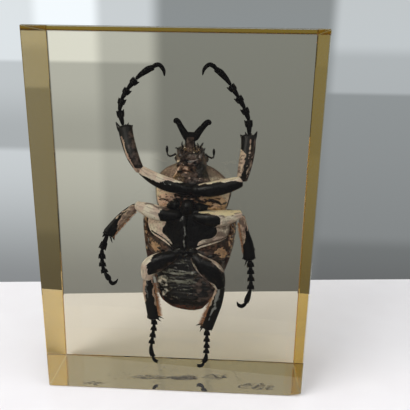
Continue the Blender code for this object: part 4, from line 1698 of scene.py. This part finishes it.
PER_MM2 = 1 / MM**2
FRINGES = (
    ("fringe_middle_left", ((-18.2, -6.4, 84.4), (-22.2, -5.6, 79.8), (-26.2, -4.2, 75.2),
                            (-29.4, -3.2, 71.2)), (0.7, 0, -0.5), 1.7),
    ("fringe_middle_right", ((28.0, -6.4, 80.0), (28.8, -5.6, 75.6), (30.0, -4.2, 70.0),
                             (30.9, -3.2, 65.0)), (-1, 0, -0.3), 1.6),
    ("fringe_hind_left", ((-10.6, -6.8, 50.0), (-9.9, -6.2, 44.0), (-9.0, -5.0, 37.0), (-8.4, -4.4, 32.6)),
     (1, 0, -0.45), 2.6),
    ("fringe_hind_right", ((17.4, -6.8, 43.6), (15.9, -6.2, 39.0), (13.9, -5.0, 33.4), (12.2, -4.4, 28.6)),
     (-1, 0, -0.15), 2.5),
)
for seed, (name, line, way, length) in enumerate(FRINGES):
    grow(ribbon_bed(name, line, way), pelt, "fringe", Length=length * MM, Thickness=0.15 * MM,
         Density=15 * PER_MM2,
         Lean=0.30, Seed=seed + 3)
TUFTS = (
    ("tuft_neck", (1.0, -5.6, 99.0), (2.0, 0.8, 1.5), 1.3),
    ("tuft_waist_left", (-4.4, -5.0, 87.0), (2.4, 0.6, 0.5), 0.9),
    ("tuft_waist_right", (15.4, -4.6, 86.0), (4.8, 0.6, 0.5), 1.2),
    ("tuft_hind_hips", (5.2, -7.4, 64.4), (3.0, 0.6, 0.8), 1.1),
    ("tuft_mouth", (6.4, -5.2, 111.6), (3.4, 0.7, 0.6), 1.1),
)
for seed, (name, at, size, length) in enumerate(TUFTS):
    grow(mound_bed(name, at, size), pelt, "fluff", Length=length * MM, Thickness=0.07 * MM,
         Density=8 * PER_MM2,
         Lean=0.6, Seed=seed + 20)
print(len(FRINGES), "fringes and", len(TUFTS), "tufts")

# %% [markdown]
# ## What handling left on the block
# The bottom face has been slid over shelves: dried streaks and grains of grime sit on it. Grime in the
# resin's own finish would cover the whole block at once. Flattened grains scattered on six rough-edged
# beds can be placed one by one. They lie a hair's breadth inside the resin's skin so that they show
# through it.

# %% Streaks and grains
grit = Growth("grit", Size="NodeSocketFloat", Density="NodeSocketFloat", Seed="NodeSocketInt",
              Material="NodeSocketMaterial")
spots = grit.node("GeometryNodeDistributePointsOnFaces", Mesh=grit.given("Geometry"),
                  Density=grit.given("Density"),
                  Seed=grit.given("Seed"))
ball = grit.node("GeometryNodeMeshIcoSphere", Radius=grit.given("Size"), Subdivisions=1)
uneven = grit.node("FunctionNodeRandomValue", {"data_type": "FLOAT_VECTOR"}, out=0, _0=(0.6, 0.3, 0.12),
                   _1=(3.4, 1.0, 0.25),
                   Seed=grit.given("Seed"))
spread_out = grit.node("FunctionNodeRandomValue", {"data_type": "FLOAT_VECTOR"}, out=0, _0=(0, 0, -0.35),
                       _1=(0, 0, 0.35),
                       Seed=grit.given("Seed"))
grains = grit.node("GeometryNodeInstanceOnPoints", Points=spots, Instance=ball, Rotation=spread_out,
                   Scale=uneven)
loose = grit.node("GeometryNodeRealizeInstances", Geometry=grains)
grit.ends_in(grit.node("GeometryNodeSetMaterial", Geometry=loose, Material=grit.given("Material")))


PATCH_CORNERS = 24
PATCH_HEIGHT = 0.12  # above the block's bottom face


def patch_bed(name, centre, wide, deep):
    """A rough-edged flat patch just above the block's bottom face."""
    shape = bmesh.new()
    ring = []
    for step in range(PATCH_CORNERS):
        turn = step / PATCH_CORNERS * 2 * math.pi
        reach = 0.8 + 0.35 * noise.noise(Vector((math.cos(turn), math.sin(turn), centre[0])))
        x = centre[0] + math.cos(turn) * wide / 2 * reach
        y = centre[1] + math.sin(turn) * deep / 2 * reach
        ring.append(shape.verts.new(Vector((x, y, PATCH_HEIGHT)) * MM))
    shape.faces.new(ring)
    return object_from(shape, name)


STREAKS = (
    ("streak_long", (-7.0, -6.0), 36, 6.0, 1.7, 0.25),
    ("streak_thick", (4.0, -5.0), 17, 7.0, 2.6, 0.30),
    ("grime_left", (-39.0, -17.5), 13, 6.0, 1.2, 0.24),
    ("grime_middle", (19.0, -2.0), 15, 8.0, 1.1, 0.28),
    ("grime_scattered", (2.0, -3.0), 94, 34.0, 0.08, 0.22),
    ("grime_right", (39.0, -12.0), 21, 11.0, 1.2, 0.26),
)
for seed, (name, centre, wide, deep, density, size) in enumerate(STREAKS):
    grow(patch_bed(name, centre, wide, deep), grit, "marks", Size=size * MM, Density=density * PER_MM2,
         Seed=seed + 40)
print(len(STREAKS), "patches of grime")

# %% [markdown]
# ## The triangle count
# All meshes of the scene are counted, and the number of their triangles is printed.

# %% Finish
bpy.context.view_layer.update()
meshes = [piece.data for piece in scene.objects if piece.type == "MESH"]
print("triangles", sum(len(face.vertices) - 2 for mesh in meshes for face in mesh.polygons))
